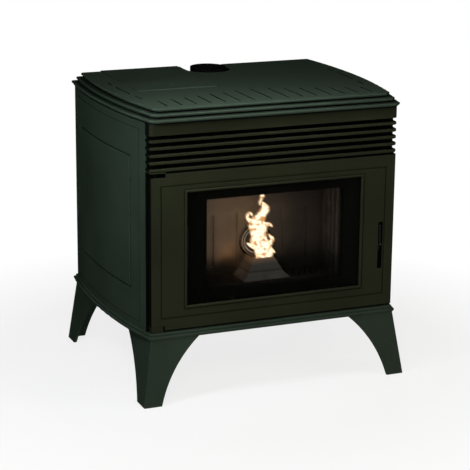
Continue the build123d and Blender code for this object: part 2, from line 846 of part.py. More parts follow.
with BuildPart() as lid_hinge_rod:
    with BuildSketch(sideways(lid_left - rod_overhang)):
        with Locations((lid_pin_y, lid_pin_z)):
            Circle(lid_pin_radius)
    extrude(amount=rod_length)
lid_hinge_rod.part.label = "lid_hinge_rod"
export_step(lid_hinge_rod.part, "parts/lid_hinge_rod.step")


# ---- pellet hopper: a flanged mouth under the lid, tapering to the auger ----
hopper_mouth_half = 100.0
mouth_front_y = lid_front_y + 14.0
mouth_rear_y = hinge_relief_y - 12.0
flange_thickness = 3.0
flange_reach = 8.0
hinge_clearance = 5.7
auger_setback = 290.0
auger_y = front_y + auger_setback
auger_tube_radius = 28.0
auger_wall = 2.0
auger_start = 50.0
auger_rise = 110.0
auger_low = (hopper_x - auger_start, auger_y, base_top + auger_rise)
auger_length = 341.0
incline = math.radians(auger_incline)
auger_direction = Vector(math.cos(incline), 0, math.sin(incline))
auger_base = Plane(origin=auger_low, x_dir=(0, 1, 0), z_dir=auger_direction)
hopper_outlet_half = 22.0
outlet_front_y = auger_y - hopper_outlet_half
outlet_rear_y = auger_y + hopper_outlet_half
outlet_drop = 40.0
outlet_z = auger_low[2] + auger_start + auger_tube_radius * 1.2
throat_drop = 130.0
throat_z = body_top - throat_drop


def hopper_section(grow, half, near, far):
    """Plan of the hopper at one height, grown outward by the sheet thickness."""
    with BuildSketch() as plan:
        box_sketch(
            hopper_x - half - grow,
            hopper_x + half + grow,
            near - grow,
            far + grow,
        )
    return plan.sketch


def hopper_body(grow):
    """Funnel: straight at the mouth, then tapering to the outlet above the auger."""
    with BuildPart() as funnel:
        with BuildSketch(Plane.XY.offset(outlet_z)):
            add(hopper_section(grow, hopper_outlet_half, outlet_front_y, outlet_rear_y))
        with BuildSketch(Plane.XY.offset(throat_z)):
            add(hopper_section(grow, hopper_mouth_half, mouth_front_y, mouth_rear_y))
        loft(ruled=True)
        with BuildSketch(Plane.XY.offset(throat_z)):
            add(hopper_section(grow, hopper_mouth_half, mouth_front_y, mouth_rear_y))
        extrude(amount=plate_under - throat_z)
    return funnel.part


with BuildPart() as pellet_hopper:
    add(hopper_body(sheet))
    with BuildSketch(Plane.XY.offset(plate_under - flange_thickness)):
        box_sketch(
            lid_left - flange_reach,
            lid_right + flange_reach - 3,
            lid_front_y - flange_reach,
            hinge_relief_y - hinge_clearance,
        )
    extrude(amount=flange_thickness)
    with BuildSketch(Plane.XY.offset(outlet_z - outlet_drop)):
        add(hopper_section(sheet, hopper_outlet_half, outlet_front_y, outlet_rear_y))
    extrude(amount=outlet_drop)
    add(hopper_body(0), mode=Mode.SUBTRACT)
    with BuildSketch(Plane.XY.offset(outlet_z - outlet_drop)):
        add(hopper_section(0, hopper_outlet_half, outlet_front_y, outlet_rear_y))
    extrude(amount=outlet_drop + 1, mode=Mode.SUBTRACT)
    with BuildSketch(auger_base):
        Circle(auger_tube_radius)
        box_sketch(-60, 60, -90, 0)
    extrude(amount=auger_length, mode=Mode.SUBTRACT)
pellet_hopper.part.label = "pellet_hopper"
export_step(pellet_hopper.part, "parts/pellet_hopper.step")

lid_seal_width = 5.0
seal_inset = 4.0
seal_left = lid_left + seal_inset
seal_right = lid_right - seal_inset
seal_front_y = lid_front_y + seal_inset
seal_rear_y = hinge_relief_y - hinge_clearance - 0.8

with BuildPart() as hopper_gasket:
    with BuildSketch(Plane.XY.offset(plate_under)):
        box_sketch(seal_left, seal_right, seal_front_y, seal_rear_y)
        box_sketch(
            seal_left + lid_seal_width,
            seal_right - lid_seal_width,
            seal_front_y + lid_seal_width,
            seal_rear_y - lid_seal_width,
            Mode.SUBTRACT,
        )
    extrude(amount=lid_bottom - plate_under - joint_gap)
hopper_gasket.part.label = "hopper_gasket"
export_step(hopper_gasket.part, "parts/hopper_gasket.step")


# ---- firebox: a welded steel box behind the front frame ----
shell_wall = 4.0
shell_depth = 130.0
shell_rear_y = frame_back_y + shell_depth
hearth_z = opening_bottom + 69.0
hearth_thickness = 8.0
back_front_y = front_y + 136.0
back_thickness = 8.0
liner_top = opening_top - 16.0
chute_radius = 33.0
chute_z = hearth_z + 87.0
smoke_x = 110.0
smoke_z = base_top + 110.0
smoke_radius = 32.0
intake_x = hopper_x + 16.0
intake_z = base_top + 52.0
igniter_x = 30.0
igniter_z = hearth_z + 12.0
igniter_radius = 5.0
probe_x = 139.0
probe_z = chute_z + 28.0

with BuildPart() as firebox_shell:
    with BuildSketch(upright(frame_back_y)):
        box_sketch(
            -half_opening - shell_wall,
            half_opening + shell_wall,
            opening_bottom - shell_wall,
            opening_top + shell_wall,
        )
    extrude(amount=-shell_depth - shell_wall)
    with BuildSketch(upright(frame_back_y)):
        box_sketch(-half_opening, half_opening, opening_bottom, opening_top)
    extrude(amount=-shell_depth, mode=Mode.SUBTRACT)
    with BuildSketch(upright(shell_rear_y)):
        for x, z, radius in (
            (0, chute_z, chute_radius),
            (smoke_x, smoke_z, smoke_radius - sheet),
            (intake_x, intake_z, intake_radius - sheet),
            (igniter_x, igniter_z, igniter_radius),
        ):
            with Locations((x, z)):
                Circle(radius)
    extrude(amount=-shell_wall, mode=Mode.SUBTRACT)
firebox_shell.part.label = "firebox_shell"
export_step(firebox_shell.part, "parts/firebox_shell.step")

# upright sheet between the warm-air space above the firebox and the hopper
baffle_half = half_front - 30.0

with BuildPart() as air_baffle:
    with BuildSketch(upright(shell_rear_y)):
        box_sketch(-baffle_half, baffle_half, opening_top + shell_wall, plate_under)
    extrude(amount=sheet)
air_baffle.part.label = "air_baffle"
export_step(air_baffle.part, "parts/air_baffle.step")

burner_half_x = 67.0
burner_front_y = front_y + 50.0
burner_rear_y = front_y + 128.0
grate_slot_width = 6.0

with BuildPart() as hearth_plate:
    with BuildSketch(Plane.XY.offset(hearth_z - hearth_thickness)):
        box_sketch(-half_opening, half_opening, frame_back_y + 1, shell_rear_y)
        box_sketch(-50, 50, burner_front_y + 12, burner_rear_y - 12, Mode.SUBTRACT)
        for number in range(6):
            for hand in (-1, 1):
                with Locations((hand * (96 + number * 17), front_y + 92)):
                    SlotOverall(64, grate_slot_width, rotation=90 - hand * 25, mode=Mode.SUBTRACT)
    extrude(amount=hearth_thickness)
hearth_plate.part.label = "hearth_plate"
export_step(hearth_plate.part, "parts/hearth_plate.step")

# cast rear lining with sunk panels either side of the pellet inlet
panel_low = hearth_z + 24.0
panel_high = hearth_z + 167.0
panel_edges = ((51.0, 83.0), (119.0, 151.0))
panel_sink = 4.0
panel_draft = 20.0

with BuildPart() as fire_back:
    with BuildSketch(upright(back_front_y)):
        box_sketch(-half_opening + 0.4, half_opening - 0.4, hearth_z, liner_top)
    extrude(amount=-back_thickness)
    for hand in (-1, 1):
        for near, far in panel_edges:
            with BuildSketch(upright(back_front_y)):
                box_sketch(
                    min(hand * near, hand * far),
                    max(hand * near, hand * far),
                    panel_low,
                    panel_high,
                )
            extrude(amount=-panel_sink, taper=panel_draft, mode=Mode.SUBTRACT)
    with BuildSketch(upright(back_front_y - 5)):
        with Locations((0, chute_z)):
            Circle(chute_radius)
        with Locations((igniter_x, igniter_z)):
            Circle(igniter_radius + 1)
        with Locations((probe_x, probe_z)):
            Circle(3.5)
    extrude(amount=-back_thickness - 8, mode=Mode.SUBTRACT)
fire_back.part.label = "fire_back"
export_step(fire_back.part, "parts/fire_back.step")

# fluted side linings
liner_thickness = 6.0
flute_count = 4
flute_pitch = 26.5
flute_radius = 9.0
flute_setback = 3.0


def fire_liner(hand):
    """Side lining with upright half-round flutes on the fire side."""
    with BuildPart() as liner:
        with BuildSketch(Plane.XY.offset(hearth_z)):
            outer = hand * half_opening
            inner = hand * (half_opening - liner_thickness)
            axis = inner + hand * flute_setback
            box_sketch(min(outer, inner), max(outer, inner), frame_back_y + 1, back_front_y)
            first = (frame_back_y + back_front_y) / 2 - (flute_count - 1) * flute_pitch / 2
            with Locations(*[(axis, first + n * flute_pitch) for n in range(flute_count)]):
                Circle(flute_radius)
        extrude(amount=liner_top - hearth_z)
        with BuildSketch(Plane.XY.offset(hearth_z)):
            box_sketch(min(outer, 2 * outer), max(outer, 2 * outer), front_y, back_front_y)
        extrude(amount=liner_top - hearth_z, mode=Mode.SUBTRACT)
    return liner.part


liner_left = fire_liner(-1)
liner_left.label = "liner_left"
export_step(liner_left, "parts/liner_left.step")

liner_right = fire_liner(1)
liner_right.label = "liner_right"
export_step(liner_right, "parts/liner_right.step")

# pellet inlet: a dark outer ring round a raised collar
collar_radius = chute_radius + 7.0
ring_radius = collar_radius + 6.0
ring_rise = 4.0
collar_rise = 7.0

with BuildPart() as chute_ring:
    with BuildSketch(upright(back_front_y)):
        with Locations((0, chute_z)):
            Circle(ring_radius)
            Circle(collar_radius, mode=Mode.SUBTRACT)
    extrude(amount=ring_rise)
    front_face = chute_ring.faces().sort_by(Axis.Y)[0]
    chamfer(front_face.edges(), 1.5)
chute_ring.part.label = "chute_ring"
export_step(chute_ring.part, "parts/chute_ring.step")

with BuildPart() as chute_collar:
    with BuildSketch(upright(back_front_y)):
        with Locations((0, chute_z)):
            Circle(collar_radius)
            Circle(chute_radius, mode=Mode.SUBTRACT)
    extrude(amount=collar_rise)
    front_face = chute_collar.faces().sort_by(Axis.Y)[0]
    fillet(front_face.edges(), 2.5)
chute_collar.part.label = "chute_collar"
export_step(chute_collar.part, "parts/chute_collar.step")

# burner pot: stepped, tapering tray with an open bowl and air holes in its floor
pot_seat = hearth_z + 0.3
step_height = 10.0
pot_height = 53.0
pot_top_half = 30.0
pot_top_front_y = front_y + 75.0


def pot_section(half, front, level):
    with BuildSketch(Plane.XY.offset(level)) as plan:
        box_sketch(-half, half, front, burner_rear_y)
    return plan.sketch


with BuildPart() as burner_pot:
    add(pot_section(burner_half_x, burner_front_y, pot_seat))
    add(pot_section(burner_half_x - 8, burner_front_y + 5, pot_seat + step_height))
    loft(ruled=True)
    add(pot_section(burner_half_x - 12, burner_front_y + 7, pot_seat + step_height))
    add(pot_section(pot_top_half, pot_top_front_y, pot_seat + pot_height))
    loft(ruled=True)
    with BuildSketch(Plane.XY.offset(pot_seat + pot_height)):
        box_sketch(-pot_top_half + 4, pot_top_half - 4, pot_top_front_y + 4, burner_rear_y - 5)
    extrude(amount=-pot_height + 14, taper=6, mode=Mode.SUBTRACT)
    with BuildSketch(Plane.XY.offset(pot_seat)):
        with Locations((0, (pot_top_front_y + burner_rear_y) / 2)):
            with GridLocations(9, 9, 4, 3):
                Circle(2)
    extrude(amount=20, mode=Mode.SUBTRACT)
burner_pot.part.label = "burner_pot"
export_step(burner_pot.part, "parts/burner_pot.step")

# ash pan under the hearth, drawn out to the front
pan_wall = 2.0
pan_front_y = front_y + 42.0
pan_depth = 116.0
pan_height = 44.0
pan_half = half_opening - 15.0
pan_bottom = opening_bottom + 0.3

with BuildPart() as ash_pan:
    with BuildSketch(Plane.XY.offset(pan_bottom)):
        box_sketch(-pan_half, pan_half, pan_front_y, pan_front_y + pan_depth)
    extrude(amount=pan_height)
    with BuildSketch(Plane.XY.offset(pan_bottom + pan_wall)):
        box_sketch(
            -pan_half + pan_wall,
            pan_half - pan_wall,
            pan_front_y + pan_wall,
            pan_front_y + pan_depth - pan_wall,
        )
    extrude(amount=pan_height, mode=Mode.SUBTRACT)
    with BuildSketch(upright(pan_front_y)):
        box_sketch(-45, 45, pan_bottom + 26, pan_bottom + 29)
    extrude(amount=4)
ash_pan.part.label = "ash_pan"
export_step(ash_pan.part, "parts/ash_pan.step")


# ---- pellet feed: inclined auger, gear motor and chute ----
flight_radius = 24.5
shaft_radius = 6.0
flight_pitch = 38.0
flight_thickness = 2.4
tube_cap = 4.0

with BuildPart() as auger_tube:
    with BuildSketch(auger_base):
        Circle(auger_tube_radius)
    extrude(amount=auger_length)
    with BuildSketch(auger_base.offset(tube_cap)):
        Circle(auger_tube_radius - auger_wall)
    extrude(amount=auger_length - 2 * tube_cap, mode=Mode.SUBTRACT)
    with BuildSketch(auger_base):
        Circle(shaft_radius + running_clearance)
    extrude(amount=auger_length, mode=Mode.SUBTRACT)
    with BuildSketch(Plane.XY.offset(auger_low[2] + 50)):
        add(hopper_section(0, hopper_outlet_half, outlet_front_y, outlet_rear_y))
    extrude(amount=60, mode=Mode.SUBTRACT)
    outlet_drop = auger_low[2] - auger_low[0]
    with BuildSketch(Plane.XY.offset(outlet_drop - 60)):
        with Locations((0, auger_y)):
            Circle(22)
    extrude(amount=60, mode=Mode.SUBTRACT)
auger_tube.part.label = "auger_tube"
export_step(auger_tube.part, "parts/auger_tube.step")

shaft_entry = 20.0
flight_start = Vector(*auger_low) + auger_direction * 10
flight_length = auger_length - 24.0

with BuildPart() as auger_screw:
    with BuildSketch(auger_base.offset(-shaft_entry)):
        Circle(shaft_radius)
    extrude(amount=auger_length + shaft_entry - 1)
    middle_radius = (flight_radius + shaft_radius - 1) / 2
    with BuildLine() as flight_path:
        Helix(flight_pitch, flight_length, middle_radius, center=flight_start, direction=auger_direction)
    start = flight_path.line @ 0
    radial = (start - flight_start).normalized()
    with BuildSketch(Plane(origin=start, x_dir=radial, z_dir=flight_path.line % 0)):
        Rectangle(flight_radius - shaft_radius + 1, flight_thickness)
    sweep(path=flight_path.line, is_frenet=True)
auger_screw.part.label = "auger_screw"
export_step(auger_screw.part, "parts/auger_screw.step")

gearbox_size = 58.0
gearbox_length = 30.0
gear_motor_length = 48.0

with BuildPart() as auger_gearmotor:
    with BuildSketch(Plane(origin=auger_low, x_dir=(0, 1, 0), z_dir=-auger_direction)) as mount_face:
        Rectangle(gearbox_size, gearbox_size)
        fillet(mount_face.vertices(), 6)
    extrude(amount=gearbox_length)
    with BuildSketch(auger_base.offset(-gearbox_length)):
        Circle(gearbox_size * 0.42)
    extrude(amount=-gear_motor_length)
    with BuildSketch(auger_base):
        Circle(shaft_radius + running_clearance)
    extrude(amount=-shaft_entry - 1, mode=Mode.SUBTRACT)
auger_gearmotor.part.label = "auger_gearmotor"
export_step(auger_gearmotor.part, "parts/auger_gearmotor.step")

chute_bend = 48.0
chute_start_y = back_front_y - 4.0
chute_flat = 40.0
bend_run = chute_bend * math.sin(incline)
bend_rise = chute_bend * (1 - math.cos(incline))
slope_run = auger_y - bend_rise - (chute_start_y + chute_flat + bend_run)

with BuildPart() as pellet_chute:
    with BuildLine(Plane.YZ) as chute_path:
        flat = Line((chute_start_y, chute_z), (chute_start_y + chute_flat, chute_z))
        lower = JernArc(flat @ 1, flat % 1, chute_bend, auger_incline)
        slope = PolarLine(lower @ 1, slope_run / math.cos(incline), auger_incline)
        upper = JernArc(slope @ 1, slope % 1, chute_bend, 90 - auger_incline)
        rise = Line(upper @ 1, (auger_y, outlet_drop - 4))
    with BuildSketch(upright(chute_start_y)):
        with Locations((0, chute_z)):
            Circle(chute_radius)
            Circle(chute_radius - sheet, mode=Mode.SUBTRACT)
    sweep(path=chute_path.line)
    with BuildSketch(auger_base):
        Circle(auger_tube_radius)
    extrude(amount=auger_length, mode=Mode.SUBTRACT)
pellet_chute.part.label = "pellet_chute"
export_step(pellet_chute.part, "parts/pellet_chute.step")

with BuildPart() as igniter:
    with BuildSketch(upright(burner_rear_y + 5)):
        with Locations((igniter_x, igniter_z)):
            Circle(igniter_radius)
    extrude(amount=-(shell_rear_y + 60 - burner_rear_y - 5))
    with BuildSketch(upright(shell_rear_y + shell_wall)):
        with Locations((igniter_x, igniter_z)):
            Circle(igniter_radius + 8)
    extrude(amount=-5)
igniter.part.label = "igniter"
export_step(igniter.part, "parts/igniter.step")


# ---- smoke fan: scroll housing, impeller and motor, feeding the flue upward ----
fan_setback = 60.0
fan_y = flue_y - fan_setback
fan_z = smoke_z
scroll_radius = 90.0
scroll_left = flue_x - 30.0
scroll_right = flue_x + 30.0
outlet_top_z = fan_z + 120.0
outlet_near_y = flue_y - 30.0
outlet_far_y = flue_y + 30.0
impeller_radius = 66.0
fan_shaft_radius = 4.0
fan_shaft_entry = 24.0


def scroll_profile(inset):
    """Side view of the scroll housing: round casing with an upward outlet."""
    with BuildSketch() as profile:
        with Locations((fan_y, fan_z)):
            Circle(scroll_radius - inset)
        box_sketch(outlet_near_y + inset, outlet_far_y - inset, fan_z, outlet_top_z)
    return profile.sketch


with BuildPart() as smoke_fan_housing:
    with BuildSketch(sideways(scroll_left)):
        add(scroll_profile(0))
        box_sketch(fan_y - 30, fan_y + 30, base_top, fan_z - scroll_radius + 6)
    extrude(amount=scroll_right - scroll_left)
    with BuildSketch(sideways(scroll_left + sheet)):
        add(scroll_profile(sheet))
    extrude(amount=scroll_right - scroll_left - 2 * sheet, mode=Mode.SUBTRACT)
    with BuildSketch(Plane.XY.offset(outlet_top_z - 5)):
        box_sketch(scroll_left + sheet, scroll_right - sheet, outlet_near_y + sheet, outlet_far_y - sheet)
    extrude(amount=10, mode=Mode.SUBTRACT)
    with BuildSketch(sideways(scroll_right - sheet - 1)):
        with Locations((fan_y, fan_z)):
            Circle(smoke_radius - sheet)
    extrude(amount=sheet + 2, mode=Mode.SUBTRACT)
    with BuildSketch(sideways(scroll_left - 1)):
        with Locations((fan_y, fan_z)):
            Circle(fan_shaft_radius + running_clearance)
    extrude(amount=sheet + 2, mode=Mode.SUBTRACT)
smoke_fan_housing.part.label = "smoke_fan_housing"
export_step(smoke_fan_housing.part, "parts/smoke_fan_housing.step")

blade_count = 8
blade_width = 26.0

with BuildPart() as smoke_impeller:
    disc_x = scroll_left + sheet + 5
    with BuildSketch(sideways(disc_x)):
        with Locations((fan_y, fan_z)):
            Circle(impeller_radius)
    extrude(amount=2)
    with BuildSketch(sideways(disc_x + 2)):
        with Locations((fan_y, fan_z)):
            with PolarLocations((impeller_radius + 22) / 2, blade_count):
                Rectangle(impeller_radius - 24, 2)
            Circle(11)
    extrude(amount=blade_width)
    with BuildSketch(sideways(scroll_left - fan_shaft_entry)):
        with Locations((fan_y, fan_z)):
            Circle(fan_shaft_radius)
    extrude(amount=fan_shaft_entry + sheet + 6)
smoke_impeller.part.label = "smoke_impeller"
export_step(smoke_impeller.part, "parts/smoke_impeller.step")

with BuildPart() as smoke_fan_motor:
    with BuildSketch(sideways(scroll_left)):
        with Locations((fan_y, fan_z)):
            Circle(38)
            Circle(fan_shaft_radius + running_clearance, mode=Mode.SUBTRACT)
    extrude(amount=-fan_shaft_entry - 1)
    with BuildSketch(sideways(scroll_left - fan_shaft_entry - 1)):
        with Locations((fan_y, fan_z)):
            Circle(38)
    extrude(amount=-34)
smoke_fan_motor.part.label = "smoke_fan_motor"
export_step(smoke_fan_motor.part, "parts/smoke_fan_motor.step")

duct_bend = 50.0

with BuildPart() as smoke_duct:
    with BuildLine(Plane.XY.offset(smoke_z)) as duct_path:
        run = Line((smoke_x, shell_rear_y + shell_wall), (smoke_x, fan_y - duct_bend))
        elbow = JernArc(run @ 1, run % 1, duct_bend, 90)
        Line((smoke_x - duct_bend, fan_y), (scroll_right, fan_y))
    with BuildSketch(upright(shell_rear_y + shell_wall)):
        with Locations((smoke_x, smoke_z)):
            Circle(smoke_radius)
            Circle(smoke_radius - sheet, mode=Mode.SUBTRACT)
    sweep(path=duct_path.line)
smoke_duct.part.label = "smoke_duct"
export_step(smoke_duct.part, "parts/smoke_duct.step")

# flue: square to round above the fan, then a round pipe to the spigot on top
flue_round_z = outlet_top_z + 50.0
flue_top_z = stove_top + 6.0


def flue_outline(shrink):
    """Flue solid, shrunk all round by the wall thickness."""
    with BuildPart() as duct:
        with BuildSketch(Plane.XY.offset(outlet_top_z)):
            box_sketch(
                scroll_left + shrink,
                scroll_right - shrink,
                outlet_near_y + shrink,
                outlet_far_y - shrink,
            )
        with BuildSketch(Plane.XY.offset(flue_round_z)):
            with Locations((flue_x, flue_y)):
                Circle(flue_radius - shrink)
        loft()
        with BuildSketch(Plane.XY.offset(flue_round_z)):
            with Locations((flue_x, flue_y)):
                Circle(flue_radius - shrink)
        extrude(amount=flue_top_z - flue_round_z)
    return duct.part


spigot_length = 42.0
stop_ring_height = 4.0

with BuildPart() as flue_pipe:
    add(flue_outline(0))
    with BuildSketch(Plane.XY.offset(flue_top_z - spigot_length - stop_ring_height)):
        with Locations((flue_x, flue_y)):
            Circle(flue_radius + 2)
    extrude(amount=stop_ring_height)
    add(flue_outline(sheet), mode=Mode.SUBTRACT)
flue_pipe.part.label = "flue_pipe"
export_step(flue_pipe.part, "parts/flue_pipe.step")

# ---- room-air blower: drum housing with a forward outlet along the floor ----
blower_radius = 62.0
blower_left = 150.0
blower_right = 262.0
blower_setback = 132.0
blower_y = side_rear_y - blower_setback
blower_z = base_top + blower_radius
drum_radius = 50.0
vane_count = 12

with BuildPart() as blower_housing:
    with BuildSketch(sideways(blower_left)):
        with Locations((blower_y, blower_z)):
            Circle(blower_radius)
        box_sketch(blower_y - 100, blower_y, base_top, base_top + 56)
    extrude(amount=blower_right - blower_left)
    with BuildSketch(sideways(blower_left + sheet)):
        with Locations((blower_y, blower_z)):
            Circle(blower_radius - sheet)
        box_sketch(blower_y - 101, blower_y, base_top + sheet, base_top + 56 - sheet)
    extrude(amount=blower_right - blower_left - 2 * sheet, mode=Mode.SUBTRACT)
    with BuildSketch(sideways(blower_left - 1)):
        with Locations((blower_y, blower_z)):
            Circle(38)
    extrude(amount=sheet + 2, mode=Mode.SUBTRACT)
    with BuildSketch(sideways(blower_right - sheet - 1)):
        with Locations((blower_y, blower_z)):
            Circle(fan_shaft_radius + running_clearance)
    extrude(amount=sheet + 2, mode=Mode.SUBTRACT)
blower_housing.part.label = "blower_housing"
export_step(blower_housing.part, "parts/blower_housing.step")

with BuildPart() as blower_wheel:
    wheel_left = blower_left + sheet + 5
    wheel_right = blower_right - sheet - 5
    with BuildSketch(sideways(wheel_right - 2)):
        with Locations((blower_y, blower_z)):
            Circle(drum_radius)
    extrude(amount=2)
    with BuildSketch(sideways(wheel_left)):
        with Locations((blower_y, blower_z)):
            Circle(drum_radius)
            Circle(drum_radius - 9, mode=Mode.SUBTRACT)
    extrude(amount=2)
    with BuildSketch(sideways(wheel_left + 1)):
        with Locations((blower_y, blower_z)):
            with PolarLocations(drum_radius - 5, vane_count):
                Rectangle(6.4, 2)
    extrude(amount=wheel_right - wheel_left - 2)
    with BuildSketch(sideways(wheel_right - 2)):
        with Locations((blower_y, blower_z)):
            Circle(fan_shaft_radius)
    extrude(amount=7 + sheet + fan_shaft_entry)
blower_wheel.part.label = "blower_wheel"
export_step(blower_wheel.part, "parts/blower_wheel.step")

with BuildPart() as blower_motor:
    with BuildSketch(sideways(blower_right)):
        with Locations((blower_y, blower_z)):
            Circle(32)
            Circle(fan_shaft_radius + running_clearance, mode=Mode.SUBTRACT)
    extrude(amount=fan_shaft_entry + 1)
    with BuildSketch(sideways(blower_right + fan_shaft_entry + 1)):
        with Locations((blower_y, blower_z)):
            Circle(32)
    extrude(amount=22)
blower_motor.part.label = "blower_motor"
export_step(blower_motor.part, "parts/blower_motor.step")


# ---- combustion air pipe from the rear to the space under the hearth ----
collar_thickness = 3.0
intake_spigot = 23.0
intake_end_y = rear_panel_back_y + collar_thickness + intake_spigot

with BuildPart() as air_intake_pipe:
    for start_y, end_y, radius in (
        (shell_rear_y + shell_wall, rear_panel_back_y, intake_radius - 1),
        (rear_panel_back_y, rear_panel_back_y + collar_thickness, intake_radius + 4),
        (rear_panel_back_y + collar_thickness, intake_end_y, intake_radius),
    ):
        with BuildSketch(upright(start_y)):
            with Locations((intake_x, intake_z)):
                Circle(radius)
        extrude(amount=-(end_y - start_y))
    with BuildSketch(upright(shell_rear_y + shell_wall)):
        with Locations((intake_x, intake_z)):
            Circle(intake_radius - 1 - sheet)
    extrude(amount=-(intake_end_y - shell_rear_y - shell_wall), mode=Mode.SUBTRACT)
air_intake_pipe.part.label = "air_intake_pipe"
export_step(air_intake_pipe.part, "parts/air_intake_pipe.step")


# ---- rear panel with vents, mains inlet and rocker switch ----
inlet_x = -front_width * 0.4
inlet_width = 56.0
inlet_bottom = base_top + 22.0
inlet_height = 78.0
vent_columns = 9
vent_pitch = 14.0
rear_half = side_x(side_rear_y) - 1.0
screw_head_radius = 4.5

with BuildPart() as rear_panel:
    with BuildSketch(upright(side_rear_y)):
        box_sketch(-rear_half, rear_half, base_top, body_top)
        with Locations((intake_x, intake_z)):
            Circle(intake_radius - 1, mode=Mode.SUBTRACT)
        box_sketch(
            inlet_x - inlet_width / 2,
            inlet_x + inlet_width / 2,
            inlet_bottom,
            inlet_bottom + inlet_height,
            Mode.SUBTRACT,
        )
        for x, z in ((206.0, blower_z + 8), (206.0, body_top - 150), (-206.0, body_top - 150)):
            with Locations((x, z)):
                with GridLocations(vent_pitch, 1, vent_columns, 1):
                    SlotOverall(80, 5, rotation=90, mode=Mode.SUBTRACT)
    extrude(amount=-sheet)
rear_panel.part.label = "rear_panel"
export_step(rear_panel.part, "parts/rear_panel.step")

with BuildPart() as rear_screws:
    with BuildSketch(upright(rear_panel_back_y)):
        for x in (-rear_half + 8, rear_half - 8):
            for n in range(5):
                with Locations((x, base_top + 20 + n * (body_top - base_top - 40) / 4)):
                    Circle(screw_head_radius)
    extrude(amount=-2.5)
    fillet(rear_screws.faces().group_by(Axis.Y)[-1].edges(), 1.2)
rear_screws.part.label = "rear_screws"
export_step(rear_screws.part, "parts/rear_screws.step")

rocker_z = inlet_bottom + inlet_height - 22.0
rocker_y = rear_panel_back_y + 1.0
rocker_half_x = 8.0
rocker_half_z = 12.0
rocker_gap = 1.0
trunnion_radius = 1.6

with BuildPart() as power_inlet:
    with BuildSketch(upright(side_rear_y - 20)):
        box_sketch(
            inlet_x - inlet_width / 2,
            inlet_x + inlet_width / 2,
            inlet_bottom,
            inlet_bottom + inlet_height,
        )
    extrude(amount=-20 - sheet)
    with BuildSketch(upright(rear_panel_back_y)):
        with Locations((inlet_x, inlet_bottom + inlet_height / 2)):
            RectangleRounded(inlet_width + 8, inlet_height + 8, 4)
    extrude(amount=-2.5)
    with BuildSketch(upright(rear_panel_back_y + 2.5)):
        with Locations((inlet_x, inlet_bottom + 22)):
            RectangleRounded(30, 22, 3)
        box_sketch(
            inlet_x - rocker_half_x - rocker_gap,
            inlet_x + rocker_half_x + rocker_gap,
            rocker_z - rocker_half_z - 1.5,
            rocker_z + rocker_half_z + 1.5,
        )
    extrude(amount=17, mode=Mode.SUBTRACT)
    with BuildSketch(upright(rear_panel_back_y + 2.5 - 17)):
        with Locations((inlet_x - 7, inlet_bottom + 20), (inlet_x + 7, inlet_bottom + 20)):
            Rectangle(2, 5)
        with Locations((inlet_x, inlet_bottom + 25)):
            Rectangle(2, 5)
    extrude(amount=-13)
    with BuildSketch(sideways(inlet_x - rocker_half_x - 5)):
        with Locations((rocker_y, rocker_z)):
            Circle(trunnion_radius + running_clearance)
    extrude(amount=2 * rocker_half_x + 10, mode=Mode.SUBTRACT)
power_inlet.part.label = "power_inlet"
export_step(power_inlet.part, "parts/power_inlet.step")

rocker_tilt = 8.0
tilt = math.radians(rocker_tilt)
rocker_plane = Plane(
    origin=(inlet_x - rocker_half_x, rocker_y, rocker_z),
    x_dir=(0, math.cos(tilt), -math.sin(tilt)),
    z_dir=(1, 0, 0),
)

with BuildPart() as power_rocker:
    with BuildSketch(rocker_plane):
        with BuildLine():
            Polyline(
                (3.2, -rocker_half_z),
                (1.2, 0),
                (3.2, rocker_half_z),
                (-3, rocker_half_z),
                (-6, 0),
                (-3, -rocker_half_z),
                close=True,
            )
        make_face()
    extrude(amount=2 * rocker_half_x)
    with BuildSketch(rocker_plane.offset(-4)):
        Circle(trunnion_radius)
    extrude(amount=2 * rocker_half_x + 8)
power_rocker.part.label = "power_rocker"
export_step(power_rocker.part, "parts/power_rocker.step")

with BuildPart() as control_box:
    with BuildSketch(upright(side_rear_y)):
        box_sketch(front_width * 0.3, front_width * 0.3 + 110, base_top + 190, base_top + 340)
    extrude(amount=46)
control_box.part.label = "control_box"
export_step(control_box.part, "parts/control_box.step")
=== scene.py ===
import math
import random

import bpy
from mathutils import Euler, Matrix, Vector


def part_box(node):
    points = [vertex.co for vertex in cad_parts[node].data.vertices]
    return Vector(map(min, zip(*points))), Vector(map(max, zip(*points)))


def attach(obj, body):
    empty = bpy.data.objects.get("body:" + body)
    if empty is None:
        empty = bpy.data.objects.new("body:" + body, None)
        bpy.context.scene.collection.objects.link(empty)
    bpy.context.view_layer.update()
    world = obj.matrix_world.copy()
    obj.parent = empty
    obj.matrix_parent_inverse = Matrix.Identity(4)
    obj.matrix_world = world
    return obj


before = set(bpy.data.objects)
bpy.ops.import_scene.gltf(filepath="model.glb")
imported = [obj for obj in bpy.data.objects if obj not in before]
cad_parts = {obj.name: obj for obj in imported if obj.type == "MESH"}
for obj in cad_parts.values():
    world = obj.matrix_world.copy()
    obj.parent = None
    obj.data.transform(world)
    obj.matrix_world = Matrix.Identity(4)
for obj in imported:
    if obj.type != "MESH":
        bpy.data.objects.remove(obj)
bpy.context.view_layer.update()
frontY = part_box("louvre_1")[0].y  # the plane of the stove's front, from which depths are taken

# directions along which a finish can change from one tone to another
rightward = (1.0, 0.0, 0.0)
leftward = (-1.0, 0.0, 0.0)
rearward = (0.0, 1.0, 0.0)
upward = (0.0, 0.0, 1.0)
downward = (0.0, 0.0, -1.0)


def deselectAll():
    if bpy.context.object and bpy.context.object.mode != "OBJECT":
        bpy.ops.object.mode_set(mode="OBJECT")
    bpy.ops.object.select_all(action="DESELECT")


def pick(obj):
    deselectAll()
    obj.select_set(True)
    bpy.context.view_layer.objects.active = obj


def settle(obj, name):
    # the place goes into the mesh, so that patterns stay still on the piece
    pick(obj)
    bpy.ops.object.transform_apply(location=True, rotation=True, scale=True)
    obj.name = name
    obj.data.name = name
    return obj


